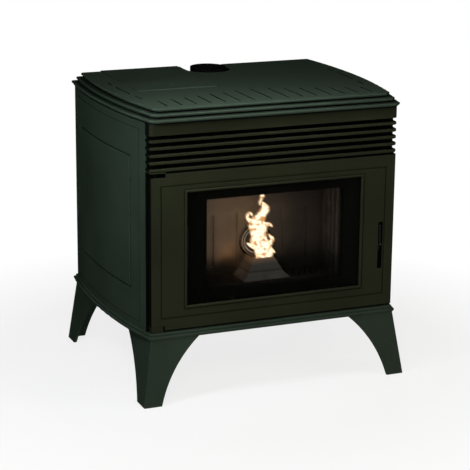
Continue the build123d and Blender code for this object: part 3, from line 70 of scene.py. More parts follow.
def newMaterial(name):
    mat = bpy.data.materials.new(name)
    mat.use_nodes = True
    return mat, mat.node_tree, mat.node_tree.nodes["Principled BSDF"]


def newGroup(name, inputs, outputs):
    tree = bpy.data.node_groups.new(name, "ShaderNodeTree")
    for label, kind, value in inputs:
        item = tree.interface.new_socket(name=label, in_out="INPUT", socket_type=kind)
        item.default_value = value
    for label, kind in outputs:
        tree.interface.new_socket(name=label, in_out="OUTPUT", socket_type=kind)
    return tree, tree.nodes.new("NodeGroupInput"), tree.nodes.new("NodeGroupOutput")


def useGroup(tree, group, **values):
    made = tree.nodes.new("ShaderNodeGroup")
    made.node_tree = group
    for key, value in values.items():
        made.inputs[key.replace("_", " ")].default_value = value
    return made


def node(tree, kind, **settings):
    made = tree.nodes.new(kind)
    for key, value in settings.items():
        if key in made.inputs:
            made.inputs[key].default_value = value
        else:
            setattr(made, key, value)
    return made


def maths(tree, operation, *terms):
    # one step of arithmetic on sockets and plain numbers
    made = node(tree, "ShaderNodeMath", operation=operation)
    for socket, term in zip(made.inputs, terms):
        if isinstance(term, float):
            socket.default_value = term
        else:
            tree.links.new(term, socket)
    return made.outputs[0]


def stretch(tree, source, low, high, start, end):
    # takes the part of a mask between start and end to the values low and high
    made = node(tree, "ShaderNodeMapRange")
    made.inputs["From Min"].default_value = start
    made.inputs["From Max"].default_value = end
    made.inputs["To Min"].default_value = low
    made.inputs["To Max"].default_value = high
    tree.links.new(source, made.inputs["Value"])
    return made.outputs["Result"]


def blendColours(tree, mask, under, over):
    mix = node(tree, "ShaderNodeMix", data_type="RGBA")
    for socket, colour in ((mix.inputs[6], under), (mix.inputs[7], over)):
        if isinstance(colour, tuple):
            socket.default_value = (*colour, 1.0)
        else:
            tree.links.new(colour, socket)
    tree.links.new(mask, mix.inputs[0])
    return mix.outputs[2]


def castGrainGroup():
    # fine sand-cast or sprayed grain under a wide, soft mottling
    tree, given, out = newGroup(
        "castGrain",
        [("Grain Scale", "NodeSocketFloat", 900.0), ("Mottle Scale", "NodeSocketFloat", 9.0)],
        [("Grain", "NodeSocketFloat"), ("Mottle", "NodeSocketFloat")],
    )
    place = node(tree, "ShaderNodeTexCoord")
    grain = node(tree, "ShaderNodeTexNoise", Detail=3.0, Roughness=0.6)
    mottle = node(tree, "ShaderNodeTexNoise", Detail=2.0, Roughness=0.45)
    links = tree.links
    links.new(place.outputs["Object"], grain.inputs["Vector"])
    links.new(place.outputs["Object"], mottle.inputs["Vector"])
    links.new(given.outputs["Grain Scale"], grain.inputs["Scale"])
    links.new(given.outputs["Mottle Scale"], mottle.inputs["Scale"])
    links.new(grain.outputs["Fac"], out.inputs["Grain"])
    links.new(mottle.outputs["Fac"], out.inputs["Mottle"])
    return tree


def toneSpreadGroup():
    # one colour taken a little darker and lighter by a mask
    tree, given, out = newGroup(
        "toneSpread",
        [
            ("Colour", "NodeSocketColor", (0.5, 0.5, 0.5, 1.0)),
            ("Spread", "NodeSocketFloat", 0.15),
            ("Mask", "NodeSocketFloat", 0.5),
        ],
        [("Colour", "NodeSocketColor")],
    )
    centred = maths(tree, "SUBTRACT", given.outputs["Mask"], 0.5)
    swing = maths(tree, "MULTIPLY", centred, given.outputs["Spread"])
    level = maths(tree, "MULTIPLY_ADD", swing, 4.0, 1.0)
    shade = node(tree, "ShaderNodeVectorMath", operation="SCALE")
    links = tree.links
    links.new(given.outputs["Colour"], shade.inputs[0])
    links.new(level, shade.inputs["Scale"])
    links.new(shade.outputs[0], out.inputs["Colour"])
    return tree


def axisBandGroup():
    # soft mask that rises between two places along one axis of the stove, in metres
    tree, given, out = newGroup(
        "axisBand",
        [
            ("Axis", "NodeSocketVector", upward),
            ("From", "NodeSocketFloat", 0.0),
            ("To", "NodeSocketFloat", 1.0),
            ("Ragged", "NodeSocketFloat", 0.02),
        ],
        [("Mask", "NodeSocketFloat")],
    )
    place = node(tree, "ShaderNodeTexCoord")
    along = node(tree, "ShaderNodeVectorMath", operation="DOT_PRODUCT")
    wander = node(tree, "ShaderNodeTexNoise", Scale=24.0, Detail=3.0, Roughness=0.6)
    links = tree.links
    links.new(place.outputs["Object"], along.inputs[0])
    links.new(given.outputs["Axis"], along.inputs[1])
    links.new(place.outputs["Object"], wander.inputs["Vector"])
    shift = maths(tree, "SUBTRACT", wander.outputs["Fac"], 0.5)
    reached = maths(tree, "MULTIPLY_ADD", shift, given.outputs["Ragged"], along.outputs["Value"])
    edge = node(tree, "ShaderNodeMapRange", interpolation_type="SMOOTHSTEP")
    links.new(reached, edge.inputs["Value"])
    links.new(given.outputs["From"], edge.inputs["From Min"])
    links.new(given.outputs["To"], edge.inputs["From Max"])
    links.new(edge.outputs["Result"], out.inputs["Mask"])
    return tree


# where the top's sunken walls lie, which take painted shade, in metres: the bowed sides are arcs about
# a far centre
topWells = {
    "Bow Centre": 1.260,
    "Bow Radius": 1.604,
    "Bow Middle": 0.044,
    "Front Edge": -0.268,
    "Back Edge": 0.262,
    "Notch Front": 0.130,
    "Notch Rim": 0.0028,
    "Face": 0.7762,
}


def sunkWellGroup():
    # mask of painted shade on the walls of the slots, the lid's mouth and the flue notch, inside a
    # line along the bowed sides
    inputs = [(label, "NodeSocketFloat", value) for label, value in topWells.items()]
    tree, given, out = newGroup("sunkWell", inputs, [("Mask", "NodeSocketFloat")])
    place = node(tree, "ShaderNodeTexCoord")
    axes = node(tree, "ShaderNodeSeparateXYZ")
    pair = node(tree, "ShaderNodeCombineXYZ")
    reach = node(tree, "ShaderNodeVectorMath", operation="LENGTH")
    links = tree.links
    links.new(place.outputs["Object"], axes.inputs[0])
    width = axes.outputs["X"]
    depth = axes.outputs["Y"]
    across = maths(tree, "ADD", maths(tree, "ABSOLUTE", width), given.outputs["Bow Centre"])
    along = maths(tree, "SUBTRACT", depth, given.outputs["Bow Middle"])
    links.new(across, pair.inputs["X"])
    links.new(along, pair.inputs["Y"])
    links.new(pair.outputs[0], reach.inputs[0])
    atNotch = maths(tree, "GREATER_THAN", depth, given.outputs["Notch Front"])
    # round the notch the face counts as lower by its chamfered rim
    height = maths(tree, "MULTIPLY_ADD", atNotch, given.outputs["Notch Rim"], axes.outputs["Z"])
    mask = maths(tree, "LESS_THAN", reach.outputs["Value"], given.outputs["Bow Radius"])
    for test, value, limit in (
        ("GREATER_THAN", depth, "Front Edge"),
        ("LESS_THAN", depth, "Back Edge"),
        ("LESS_THAN", height, "Face"),
    ):
        mask = maths(tree, "MULTIPLY", mask, maths(tree, test, value, given.outputs[limit]))
    links.new(mask, out.inputs["Mask"])
    return tree


castGrain = castGrainGroup()
toneSpread = toneSpreadGroup()
axisBand = axisBandGroup()
sunkWell = sunkWellGroup()
print("surface effects ready")


mottleSpan = (0.3, 0.7)  # the part of the mottling over which gloss changes


def grainFinish(name, look):
    # painted, cast and plated surfaces: tone, gloss and relief all follow the grain
    mat, tree, shader = newMaterial(name)
    links = tree.links
    grain = useGroup(tree, castGrain, Grain_Scale=look["grain"], Mottle_Scale=look["mottle"])
    tone = useGroup(tree, toneSpread, Colour=(*look["colour"], 1.0), Spread=look["spread"])
    links.new(grain.outputs["Mottle"], tone.inputs["Mask"])
    colour = tone.outputs["Colour"]
    for stripe in look.get("bands", ()):
        mask = useGroup(tree, axisBand, Axis=stripe["axis"], From=stripe["from"], To=stripe["to"],
                        Ragged=stripe["ragged"])
        colour = blendColours(tree, mask.outputs["Mask"], colour, stripe["colour"])
    if "wells" in look:
        mask = useGroup(tree, sunkWell)
        colour = blendColours(tree, mask.outputs["Mask"], colour, look["wells"])
    links.new(colour, shader.inputs["Base Color"])
    gloss = stretch(tree, grain.outputs["Mottle"], *look["rough"], *mottleSpan)
    links.new(gloss, shader.inputs["Roughness"])
    bump = node(tree, "ShaderNodeBump", Strength=look["relief"], Distance=look["depth"])
    links.new(grain.outputs["Grain"], bump.inputs["Height"])
    links.new(bump.outputs["Normal"], shader.inputs["Normal"])
    shader.inputs["Metallic"].default_value = look.get("metal", 0.0)
    shader.inputs["Specular IOR Level"].default_value = look.get("specular", 0.5)
    sheen = look.get("edge", 1.0)
    shader.inputs["Specular Tint"].default_value = (sheen, sheen, sheen, 1.0)
    return mat


def band(axis, start, end, colour, ragged):
    # from start to end along the axis the surface turns to the colour, and keeps it past the end
    return {"axis": axis, "from": start, "to": end, "colour": colour, "ragged": ragged}


# tones of the two enamels, and of the painted bands of shadow and light laid over castings, lining,
# collar and burner
tones = {
    "green": (0.0262, 0.0368, 0.0275),
    "front": (0.0185, 0.0200, 0.0118),
    # painted shade, in the grooves of the top and in the shadow lines of the front
    "groove": (0.0030, 0.0036, 0.0030),
    # painted shade on the sunken walls of the top
    "wellShade": (0.0008, 0.0009, 0.0008),
    # painted shade of the lining, to the right and at its foot
    "liningShade": (0.026, 0.021, 0.017),
    "liningFootShade": (0.0075, 0.0070, 0.0062),
    # painted highlight on the collar's side
    "collarHighlight": (0.300, 0.270, 0.235),
    "burnerIron": (0.026, 0.025, 0.024),
    # painted shadow in the burner's groove and painted firelight on its rim
    "burnerGrooveShade": (0.006, 0.0055, 0.005),
    "burnerGlow": (0.085, 0.060, 0.040),
}

# in every look: "rough" from its shiny to its dull spots, "relief" and "depth" of the bump,
# and "edge", how much of the white sheen at a grazing angle stays
enamelLook = {
    "spread": 0.14, "grain": 700.0, "mottle": 6.0, "relief": 0.10, "depth": 0.0004,
    "metal": 0.12, "specular": 0.0,
}
greenLook = {**enamelLook, "colour": tones["green"], "rough": (0.24, 0.31), "edge": 0.02}
frontLook = {**enamelLook, "colour": tones["front"], "rough": (0.27, 0.34), "edge": 0.0}

# painted light and shade of the fire's glow: the lining is lighter at its upper left, darker to the
# right and at its foot
liningLightAndShade = (
    band(rightward, -0.13, 0.17, tones["liningShade"], 0.09),
    band(downward, -0.375, -0.295, tones["liningFootShade"], 0.05),
)

# finishes by the record's material slot
finishes = {
    "green_enamel": grainFinish("greenEnamel", greenLook),
    "front_enamel": grainFinish("frontEnamel", frontLook),
    "black_steel": grainFinish("blackSteel", {
        "colour": (0.0026, 0.0026, 0.0027), "spread": 0.2, "grain": 900.0, "mottle": 12.0,
        "rough": (0.50, 0.62), "relief": 0.12, "depth": 0.0003,
        "metal": 0.3, "specular": 0.0, "edge": 0.0}),
    "cast_hearth": grainFinish("castHearth", {
        "colour": (0.0050, 0.0046, 0.0042), "spread": 0.3, "grain": 420.0, "mottle": 18.0,
        "rough": (0.55, 0.72), "relief": 0.35, "depth": 0.0008,
        "metal": 0.3, "specular": 0.0, "edge": 0.2}),
    "fire_lining": grainFinish("fireLining", {
        "colour": (0.085, 0.066, 0.050), "spread": 0.25, "grain": 380.0, "mottle": 11.0,
        "rough": (0.42, 0.6), "relief": 0.3, "depth": 0.0008,
        "metal": 0.25, "specular": 0.05, "edge": 0.3, "bands": liningLightAndShade}),
    "plated_steel": grainFinish("platedSteel", {
        "colour": (0.42, 0.42, 0.41), "spread": 0.06, "grain": 1100.0, "mottle": 14.0,
        "rough": (0.26, 0.36), "relief": 0.08, "depth": 0.0002, "metal": 1.0}),
    "galvanised": grainFinish("galvanisedSheet", {
        "colour": (0.36, 0.37, 0.38), "spread": 0.16, "grain": 260.0, "mottle": 60.0,
        "rough": (0.32, 0.5), "relief": 0.06, "depth": 0.0002, "metal": 1.0}),
    "motor_black": grainFinish("motorPaint", {
        "colour": (0.012, 0.012, 0.012), "spread": 0.15, "grain": 800.0, "mottle": 20.0,
        "rough": (0.42, 0.55), "relief": 0.15, "depth": 0.0003, "specular": 0.35}),
    "rope_seal": grainFinish("ropeSeal", {
        "colour": (0.030, 0.028, 0.026), "spread": 0.4, "grain": 600.0, "mottle": 320.0,
        "rough": (0.85, 0.95), "relief": 0.6, "depth": 0.0012, "specular": 0.2}),
    "border_black": grainFinish("firedBorder", {
        "colour": (0.0036, 0.0036, 0.0033), "spread": 0.1, "grain": 500.0, "mottle": 9.0,
        "rough": (0.10, 0.16), "relief": 0.02, "depth": 0.0001, "specular": 0.0}),
    "black_plastic": grainFinish("mouldedPlastic", {
        "colour": (0.008, 0.008, 0.008), "spread": 0.12, "grain": 1400.0, "mottle": 30.0,
        "rough": (0.42, 0.52), "relief": 0.12, "depth": 0.0002, "specular": 0.4}),
    "rocker_plastic": grainFinish("rockerPlastic", {
        "colour": (0.012, 0.012, 0.012), "spread": 0.1, "grain": 1400.0, "mottle": 30.0,
        "rough": (0.22, 0.3), "relief": 0.05, "depth": 0.0001, "specular": 0.5}),
}

# painted shade in the grooves under the beads of the stepped top, each a low and a high edge, in
# metres
topGrooves = {
    "edges": ((0.7400, 0.7436), (0.7522, 0.7558), (0.7644, 0.7680)),
    "blur": 0.0004,
    "ragged": 0.0001,
}


def grooveBands():
    bands = []
    blur = topGrooves["blur"]
    for low, high in topGrooves["edges"]:
        for edge, tone in ((low, tones["groove"]), (high, tones["green"])):
            bands.append(band(upward, edge - blur, edge + blur, tone, topGrooves["ragged"]))
    return bands


def topFinish():
    # painted shade in the grooves under the beads and on the sunken walls
    return grainFinish("topEnamel", {**greenLook, "bands": grooveBands(), "wells": tones["wellShade"]})


# painted shadow lines of the front, in metres: half width of the castings' faces, depths of the dark
# sides behind each face, and the gap that shows round the door
frontShadows = {
    "halfFace": 0.3468,
    "fasciaDepth": 0.0085,
    "frameDepth": 0.010,
    "louvreDepth": 0.0055,
    "doorDepth": 0.006,
    "doorGap": 0.0016,
    "blur": 0.0006,
    "ragged": 0.0003,
}


def darkPast(axis, start):
    # a painted shadow line: from start along the axis the surface turns dark
    return band(axis, start, start + frontShadows["blur"], tones["groove"], frontShadows["ragged"])


def castingFinish(name, depth):
    # a full-width casting of the front, with painted shade at both ends and behind its face
    half = frontShadows["halfFace"]
    shadows = (darkPast(rightward, half), darkPast(leftward, half), darkPast(rearward, frontY + depth))
    return grainFinish(name, {**frontLook, "bands": shadows})


def louvreFinish():
    # painted shade on the slats behind their front edge
    shadow = darkPast(rearward, frontY + frontShadows["louvreDepth"])
    return grainFinish("louvreEnamel", {**frontLook, "bands": (shadow,)})


def doorFinish():
    # painted shadow in the gap round the door and on its sides behind its face
    lowest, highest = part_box("door_frame")
    gap = frontShadows["doorGap"]
    return grainFinish("doorEnamel", {**frontLook, "bands": (
        darkPast(rightward, highest.x - gap),
        darkPast(leftward, -lowest.x - gap),
        darkPast(upward, highest.z - gap),
        darkPast(downward, -lowest.z - gap),
        darkPast(rearward, lowest.y + frontShadows["doorDepth"]),
    )})


def sideLiningFinish():
    return grainFinish("sideLining", {
        "colour": (0.095, 0.074, 0.056), "spread": 0.25, "grain": 380.0, "mottle": 11.0,
        "rough": (0.20, 0.30), "relief": 0.15, "depth": 0.0005,
        "metal": 0.5, "specular": 0.0, "edge": 0.4, "bands": liningLightAndShade})


def shadeBlackFinish():
    # painted shade: near black for pieces behind the louvres and the fire, where hardly any light
    # comes back
    return grainFinish("shadeBlack", {
        "colour": (0.0006, 0.0006, 0.0006), "spread": 0.1, "grain": 900.0, "mottle": 12.0,
        "rough": (0.8, 0.9), "relief": 0.1, "depth": 0.0003, "specular": 0.0})


def rearPanelFinish():
    return grainFinish("rearSheet", {
        "colour": (0.0110, 0.0112, 0.0115), "spread": 0.2, "grain": 900.0, "mottle": 12.0,
        "rough": (0.50, 0.62), "relief": 0.12, "depth": 0.0003,
        "metal": 0.3, "specular": 0.0, "edge": 0.1})


# the collar in the fire's back wall has a painted highlight on its side, just behind its front edge
collar = {"dark": 0.0002, "bright": 0.0006, "ragged": 0.0001}


def collarFinish():
    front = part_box("chute_collar")[0].y
    collarHighlightBand = band(rearward, front + collar["dark"], front + collar["bright"], tones["collarHighlight"],
               collar["ragged"])
    return grainFinish("collarIron", {
        "colour": (0.0100, 0.0092, 0.0085), "spread": 0.2, "grain": 380.0, "mottle": 16.0,
        "rough": (0.5, 0.6), "relief": 0.2, "depth": 0.0004, "specular": 0.0,
        "bands": (collarHighlightBand,)})


def handleFinish():
    return grainFinish("handleSteel", {
        "colour": (0.0100, 0.0100, 0.0104), "spread": 0.12, "grain": 900.0, "mottle": 30.0,
        "rough": (0.36, 0.46), "relief": 0.08, "depth": 0.0002,
        "metal": 0.7, "specular": 0.0, "edge": 0.2})


# burner pot: painted shadow in a groove over its skirt, measured from the hearth, and painted
# firelight on its rim
burner = {
    "grooveRise": 0.0205,
    "grooveWidth": 0.0022,
    "grooveBlur": 0.0004,
    "glowFrom": 0.322,
    "glowTo": 0.342,
    "glowRagged": 0.014,
}


def burnerFinish():
    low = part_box("hearth_plate")[1].z + burner["grooveRise"]
    high = low + burner["grooveWidth"]
    blur = burner["grooveBlur"]
    return grainFinish("burnerCasting", {
        "colour": tones["burnerIron"], "spread": 0.3, "grain": 420.0, "mottle": 22.0,
        "rough": (0.5, 0.68), "relief": 0.3, "depth": 0.0008,
        "metal": 0.3, "specular": 0.0, "edge": 0.2,
        "bands": (
            band(upward, low, low + blur, tones["burnerGrooveShade"], blur),
            band(upward, high, high + blur, tones["burnerIron"], blur),
            band(upward, burner["glowFrom"], burner["glowTo"], tones["burnerGlow"],
                 burner["glowRagged"]),
        )})


# clear pane with the faintest smoke film, so that it isn't the same all over
pane = {
    "tint": (0.93, 0.94, 0.92, 1.0),
    "tintSpread": 0.03,
    "film": (0.02, 0.07),
    "filmSpan": (0.35, 0.75),
    "grain": 40.0,
    "mottle": 7.0,
    "bend": 1.08,
    "cover": 0.2,
}


def glassFinish():
    mat, tree, shader = newMaterial("firePane")
    grain = useGroup(tree, castGrain, Grain_Scale=pane["grain"], Mottle_Scale=pane["mottle"])
    film = stretch(tree, grain.outputs["Mottle"], *pane["film"], *pane["filmSpan"])
    tree.links.new(film, shader.inputs["Roughness"])
    tone = useGroup(tree, toneSpread, Colour=pane["tint"], Spread=pane["tintSpread"])
    tree.links.new(grain.outputs["Mottle"], tone.inputs["Mask"])
    tree.links.new(tone.outputs["Colour"], shader.inputs["Base Color"])
    shader.inputs["Transmission Weight"].default_value = 1.0
    shader.inputs["IOR"].default_value = pane["bend"]
    shader.inputs["Alpha"].default_value = pane["cover"]
    return mat


finishes["fire_glass"] = glassFinish()
sideLining = sideLiningFinish()
louvreEnamel = louvreFinish()
shadeBlack = shadeBlackFinish()

# pieces whose finish differs from the rest of their slot
ownFinishes = {
    "top_plate": topFinish(),
    "fascia": castingFinish("fasciaEnamel", frontShadows["fasciaDepth"]),
    "front_frame": castingFinish("frameEnamel", frontShadows["frameDepth"]),
    "door_frame": doorFinish(),
    "door_handle": handleFinish(),
    "liner_left": sideLining,
    "liner_right": sideLining,
    "rear_panel": rearPanelFinish(),
    "louvre_uprights": shadeBlack,
    "air_baffle": shadeBlack,
    "chute_ring": shadeBlack,
    "chute_collar": collarFinish(),
    "burner_pot": burnerFinish(),
}
for number in range(1, 6):
    ownFinishes["louvre_" + str(number)] = louvreEnamel

for name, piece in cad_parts.items():
    for holder in piece.material_slots:
        slotName = holder.material.name.split(".")[0]
        if name in ownFinishes:
            holder.material = ownFinishes[name]
        elif slotName in finishes:
            holder.material = finishes[slotName]
print("finishes placed on", len(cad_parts), "nodes")


# the fire: a ragged body and curls, each a path of (x, z, radius) in millimetres
flame = {
    "depth": 0.092,
    "flat": 0.5,
    "heart": 1.1,  # how far the white heart stays inside the drawn outline
    "rim": 0.7,  # how far the orange rim stands outside it
    "least": 0.0003,  # a tip isn't drawn thinner than this
    "ragged": 0.0014,
    "weld": 0.00005,
    "grain": 160.0,
    "flecks": 105.0,
    "fleckSpan": (0.50, 0.60),
    "tongues": {
        "body": [
            (2.0, 322.0, 15.0), (3.0, 331.0, 19.0), (6.5, 338.0, 22.5), (9.2, 344.5, 25.0),
            (8.2, 350.0, 24.5), (4.7, 358.2, 23.0), (0.2, 368.2, 22.5), (-4.8, 380.2, 21.5),
            (-8.3, 392.2, 21.0), (-9.3, 402.2, 21.5), (-9.3, 411.2, 23.5), (-9.8, 420.2, 25.5),
            (-12.3, 428.2, 25.0), (-10.8, 436.2, 20.5), (-5.3, 443.2, 15.5), (-1.3, 450.2, 12.0),
            (2.2, 457.2, 10.5), (7.2, 464.2, 11.5), (10.7, 470.2, 11.8), (7.7, 477.2, 8.0),
            (4.2, 483.2, 4.0), (2.2, 488.2, 1.2),
        ],
        "crown": [
            (-7.3, 480.2, 1.4), (-5.8, 486.2, 2.8), (-3.8, 492.2, 2.2), (-0.8, 498.2, 2.0),
            (0.2, 503.2, 6.4), (0.7, 507.7, 5.0), (1.2, 511.2, 1.5),
        ],
        "leftCurl": [
            (-27.8, 430.2, 6.5), (-33.8, 439.2, 5.0), (-39.8, 445.2, 3.8), (-42.3, 452.2, 3.2),
            (-39.3, 458.7, 3.0), (-33.8, 461.2, 3.0), (-29.3, 458.2, 2.4), (-28.8, 453.2, 1.0),
        ],
        "rightSpur": [
            (13.2, 425.2, 5.5), (20.7, 426.2, 4.2), (27.2, 422.7, 2.6), (30.7, 417.2, 1.0),
        ],
        "rightCurl": [
            (23.2, 371.2, 6.5), (30.2, 378.2, 5.6), (32.7, 385.2, 4.2), (27.7, 389.2, 3.0),
            (23.7, 393.2, 2.0), (22.7, 398.2, 0.8),
        ],
        "leftFoot": [
            (-18.8, 365.2, 6.0), (-28.3, 370.7, 5.2), (-35.8, 374.7, 3.6), (-40.8, 377.7, 1.4),
        ],
        "leftWisp": [(-25.8, 378.2, 4.0), (-31.3, 384.2, 2.4), (-29.3, 391.2, 1.2)],
        "rightFoot": [(26.2, 357.2, 5.0), (32.7, 350.2, 4.6), (39.2, 346.2, 1.6)],
    },
    # bright colour, colour of its darker flecks, strength, cover
    "heartLook": ((1.0, 0.92, 0.74), (0.30, 0.155, 0.05), 2.0, 1.0),
    "rimLook": ((1.0, 0.62, 0.28), (0.70, 0.28, 0.08), 1.15, 0.5),
}


def flameFinish(name, look):
    bright, fleck, strength, cover = look
    mat, tree, shader = newMaterial(name)
    grain = useGroup(tree, castGrain, Grain_Scale=flame["grain"], Mottle_Scale=flame["flecks"])
    mask = stretch(tree, grain.outputs["Mottle"], 0.0, 1.0, *flame["fleckSpan"])
    tree.links.new(blendColours(tree, mask, bright, fleck), shader.inputs["Emission Color"])
    shader.inputs["Base Color"].default_value = (0.0, 0.0, 0.0, 1.0)
    shader.inputs["Specular IOR Level"].default_value = 0.0
    shader.inputs["Roughness"].default_value = 1.0
    shader.inputs["Emission Strength"].default_value = strength
    shader.inputs["Alpha"].default_value = cover
    return mat


def flameTongue(name, path, shrink, material):
    # a path with its own thickness at each point, made a mesh and flattened front to back
    deselectAll()
    bpy.ops.curve.primitive_nurbs_path_add(location=(0.0, 0.0, 0.0))
    made = bpy.context.object
    line = made.data.splines[0]
    if len(path) > len(line.points):
        line.points.add(len(path) - len(line.points))
    used = path + [path[-1]] * (len(line.points) - len(path))
    for point, (x, z, radius) in zip(line.points, used):
        point.co = (0.001 * x, 0.0, 0.001 * z, 1.0)
        point.radius = max(0.001 * (radius - shrink), flame["least"])
    line.order_u = 3
    line.use_endpoint_u = True
    line.resolution_u = 4
    made.data.dimensions = "3D"
    made.data.bevel_depth = 1.0
    made.data.bevel_resolution = 4
    made.data.use_fill_caps = True
    bpy.ops.object.convert(target="MESH")
    made = bpy.context.object
    bpy.ops.object.mode_set(mode="EDIT")
    bpy.ops.mesh.select_all(action="SELECT")
    bpy.ops.mesh.remove_doubles(threshold=flame["weld"])
    bpy.ops.transform.resize(value=(1.0, flame["flat"], 1.0), center_override=(0.0, 0.0, 0.0))
    bpy.ops.transform.translate(value=(0.0, frontY + flame["depth"], 0.0))
    bpy.ops.transform.vertex_random(offset=flame["ragged"], seed=len(path))
    bpy.ops.mesh.normals_make_consistent(inside=False)
    bpy.ops.object.mode_set(mode="OBJECT")
    settle(made, name)
    bpy.ops.object.shade_smooth()
    made.data.materials.clear()
    made.data.materials.append(material)
    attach(made, "burner")


def buildFlame():
    heartFinish = flameFinish("flameHeart", flame["heartLook"])
    rimFinish = flameFinish("flameRim", flame["rimLook"])
    for part, path in flame["tongues"].items():
        flameTongue("flame_" + part, path, flame["heart"], heartFinish)
        flameTongue("flameRim_" + part, path, -flame["rim"], rimFinish)


buildFlame()
print("fire built of", len(flame["tongues"]), "tongues")


# wood pellets glowing in the bowl of the burner, in metres; tip and roll in radians
pellets = {
    "count": 64,
    "seed": 5,
    "radius": 0.0030,
    "sides": 10,
    "endInset": 0.0006,
    "length": (0.011, 0.018),
    "half": 0.0185,
    "rows": (0.0845, 0.1165),
    "levels": (0.303, 0.3305),
    "tip": 0.5,
    "roll": 0.4,
    "char": (0.035, 0.022, 0.014, 1.0),
    "charSpread": 0.4,
    "ember": (1.0, 0.30, 0.05),
    "cold": (0.02, 0.003, 0.0),
    "grain": 900.0,
    "cracks": 90.0,
    "crackSpan": (0.45, 0.68),
    "glow": 1.6,
    "endFacing": 0.9,  # a face counts as an end where its normal is as upright as this
    "smoothTo": 40.0,
}


def pelletFinish():
    # charred pellets with glowing cracks
    mat, tree, shader = newMaterial("glowingPellet")
    grain = useGroup(tree, castGrain, Grain_Scale=pellets["grain"], Mottle_Scale=pellets["cracks"])
    char = useGroup(tree, toneSpread, Colour=pellets["char"], Spread=pellets["charSpread"])
    tree.links.new(grain.outputs["Grain"], char.inputs["Mask"])
    tree.links.new(char.outputs["Colour"], shader.inputs["Base Color"])
    cracks = stretch(tree, grain.outputs["Mottle"], 0.0, 1.0, *pellets["crackSpan"])
    glow = blendColours(tree, cracks, pellets["cold"], pellets["ember"])
    tree.links.new(glow, shader.inputs["Emission Color"])
    shader.inputs["Emission Strength"].default_value = pellets["glow"]
    bump = node(tree, "ShaderNodeBump", Strength=0.5, Distance=0.0006)
    tree.links.new(grain.outputs["Grain"], bump.inputs["Height"])
    tree.links.new(bump.outputs["Normal"], shader.inputs["Normal"])
    shader.inputs["Roughness"].default_value = 0.9
    return mat


def pelletModel():
    # one pellet a metre long, with an inset at both ends
    deselectAll()
    bpy.ops.mesh.primitive_cylinder_add(vertices=pellets["sides"], radius=pellets["radius"], depth=1.0)
    model = bpy.context.object
    bpy.ops.object.mode_set(mode="EDIT")
    bpy.ops.mesh.select_all(action="DESELECT")
    bpy.ops.mesh.select_mode(type="FACE")
    bpy.ops.object.mode_set(mode="OBJECT")
    for face in model.data.polygons:
        face.select = abs(face.normal.z) > pellets["endFacing"]
    bpy.ops.object.mode_set(mode="EDIT")
    bpy.ops.mesh.inset(thickness=pellets["endInset"])
    bpy.ops.object.mode_set(mode="OBJECT")
    return model


def pelletBed():
    model = pelletModel()
    chance = random.Random(pellets["seed"])
    near, far = pellets["rows"]
    low, high = pellets["levels"]
    bed = []
    for number in range(pellets["count"]):
        one = model.copy()
        one.data = model.data.copy()
        bpy.context.scene.collection.objects.link(one)
        long = chance.uniform(*pellets["length"])
        rise = number / (pellets["count"] - 1)
        one.scale = (1.0, 1.0, long)
        one.rotation_euler = (
            math.pi / 2 + chance.uniform(-pellets["tip"], pellets["tip"]),
            chance.uniform(-pellets["roll"], pellets["roll"]),
            chance.uniform(0.0, math.pi),
        )
        reach = pellets["half"] - long / 2
        one.location = (
            chance.uniform(-reach, reach),
            frontY + chance.uniform(near + long / 2, far - long / 2),
            low + (high - low) * rise,
        )
        bed.append(one)
    bpy.data.objects.remove(model)
    deselectAll()
    for one in bed:
        one.select_set(True)
    bpy.context.view_layer.objects.active = bed[0]
    bpy.ops.object.join()
    heap = settle(bed[0], "pellet_bed")
    bpy.ops.object.shade_smooth_by_angle(angle=math.radians(pellets["smoothTo"]))
    heap.data.materials.clear()
    heap.data.materials.append(pelletFinish())
    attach(heap, "burner")


pelletBed()
print("pellets laid in the bowl")


# floor and lamps, in metres and watts
studio = {
    "floorSize": 12.0,
    "floorHeight": -0.0005,
    "floorColour": (0.9, 0.9, 0.9, 1.0),
    "floorRough": 0.9,
    "floorShadow": 0.20,
    "shadowReach": (0.62, 1.15),
    "worldFill": 0.09,
    "aim": (0.0, 0.0, 0.45),
    # place, width, height, power, tint
    "lamps": {
        "keyLamp": ((-1.6, -3.4, 2.3), 1.8, 1.8, 50.0, (1.0, 0.96, 0.80)),
        "fillLamp": ((3.0, -2.4, 1.5), 2.2, 2.2, 26.0, (1.0, 0.97, 0.82)),
        "topLamp": ((0.2, 0.4, 3.1), 2.4, 2.4, 4.0, (1.0, 1.0, 1.0)),
        "backLamp": ((1.5, 3.3, 2.1), 1.6, 1.6, 22.0, (1.0, 1.0, 1.0)),
        "edgeLamp": ((-0.10, -0.42, 1.02), 0.80, 0.12, 2.9, (0.95, 1.0, 0.99)),
        "sideLamp": ((-0.85, -0.52, 0.90), 0.18, 0.18, 3.7, (0.82, 1.0, 0.98)),
    },
    # glow of the fire on the lining: place from the front plane, radius, power, tint
    "glows": {
        "fireGlow": ((-0.030, 0.060, 0.440), 0.03, 0.40, (1.0, 0.68, 0.42)),
        "emberGlow": ((-0.074, 0.112, 0.338), 0.012, 0.085, (1.0, 0.54, 0.24)),
    },
}


def whiteRays(tree):
    # camera, glossy and see-through rays meet plain white
    rays = node(tree, "ShaderNodeLightPath")
    some = maths(tree, "MAXIMUM", rays.outputs["Is Camera Ray"], rays.outputs["Is Glossy Ray"])
    return maths(tree, "MAXIMUM", some, rays.outputs["Is Transmission Ray"])


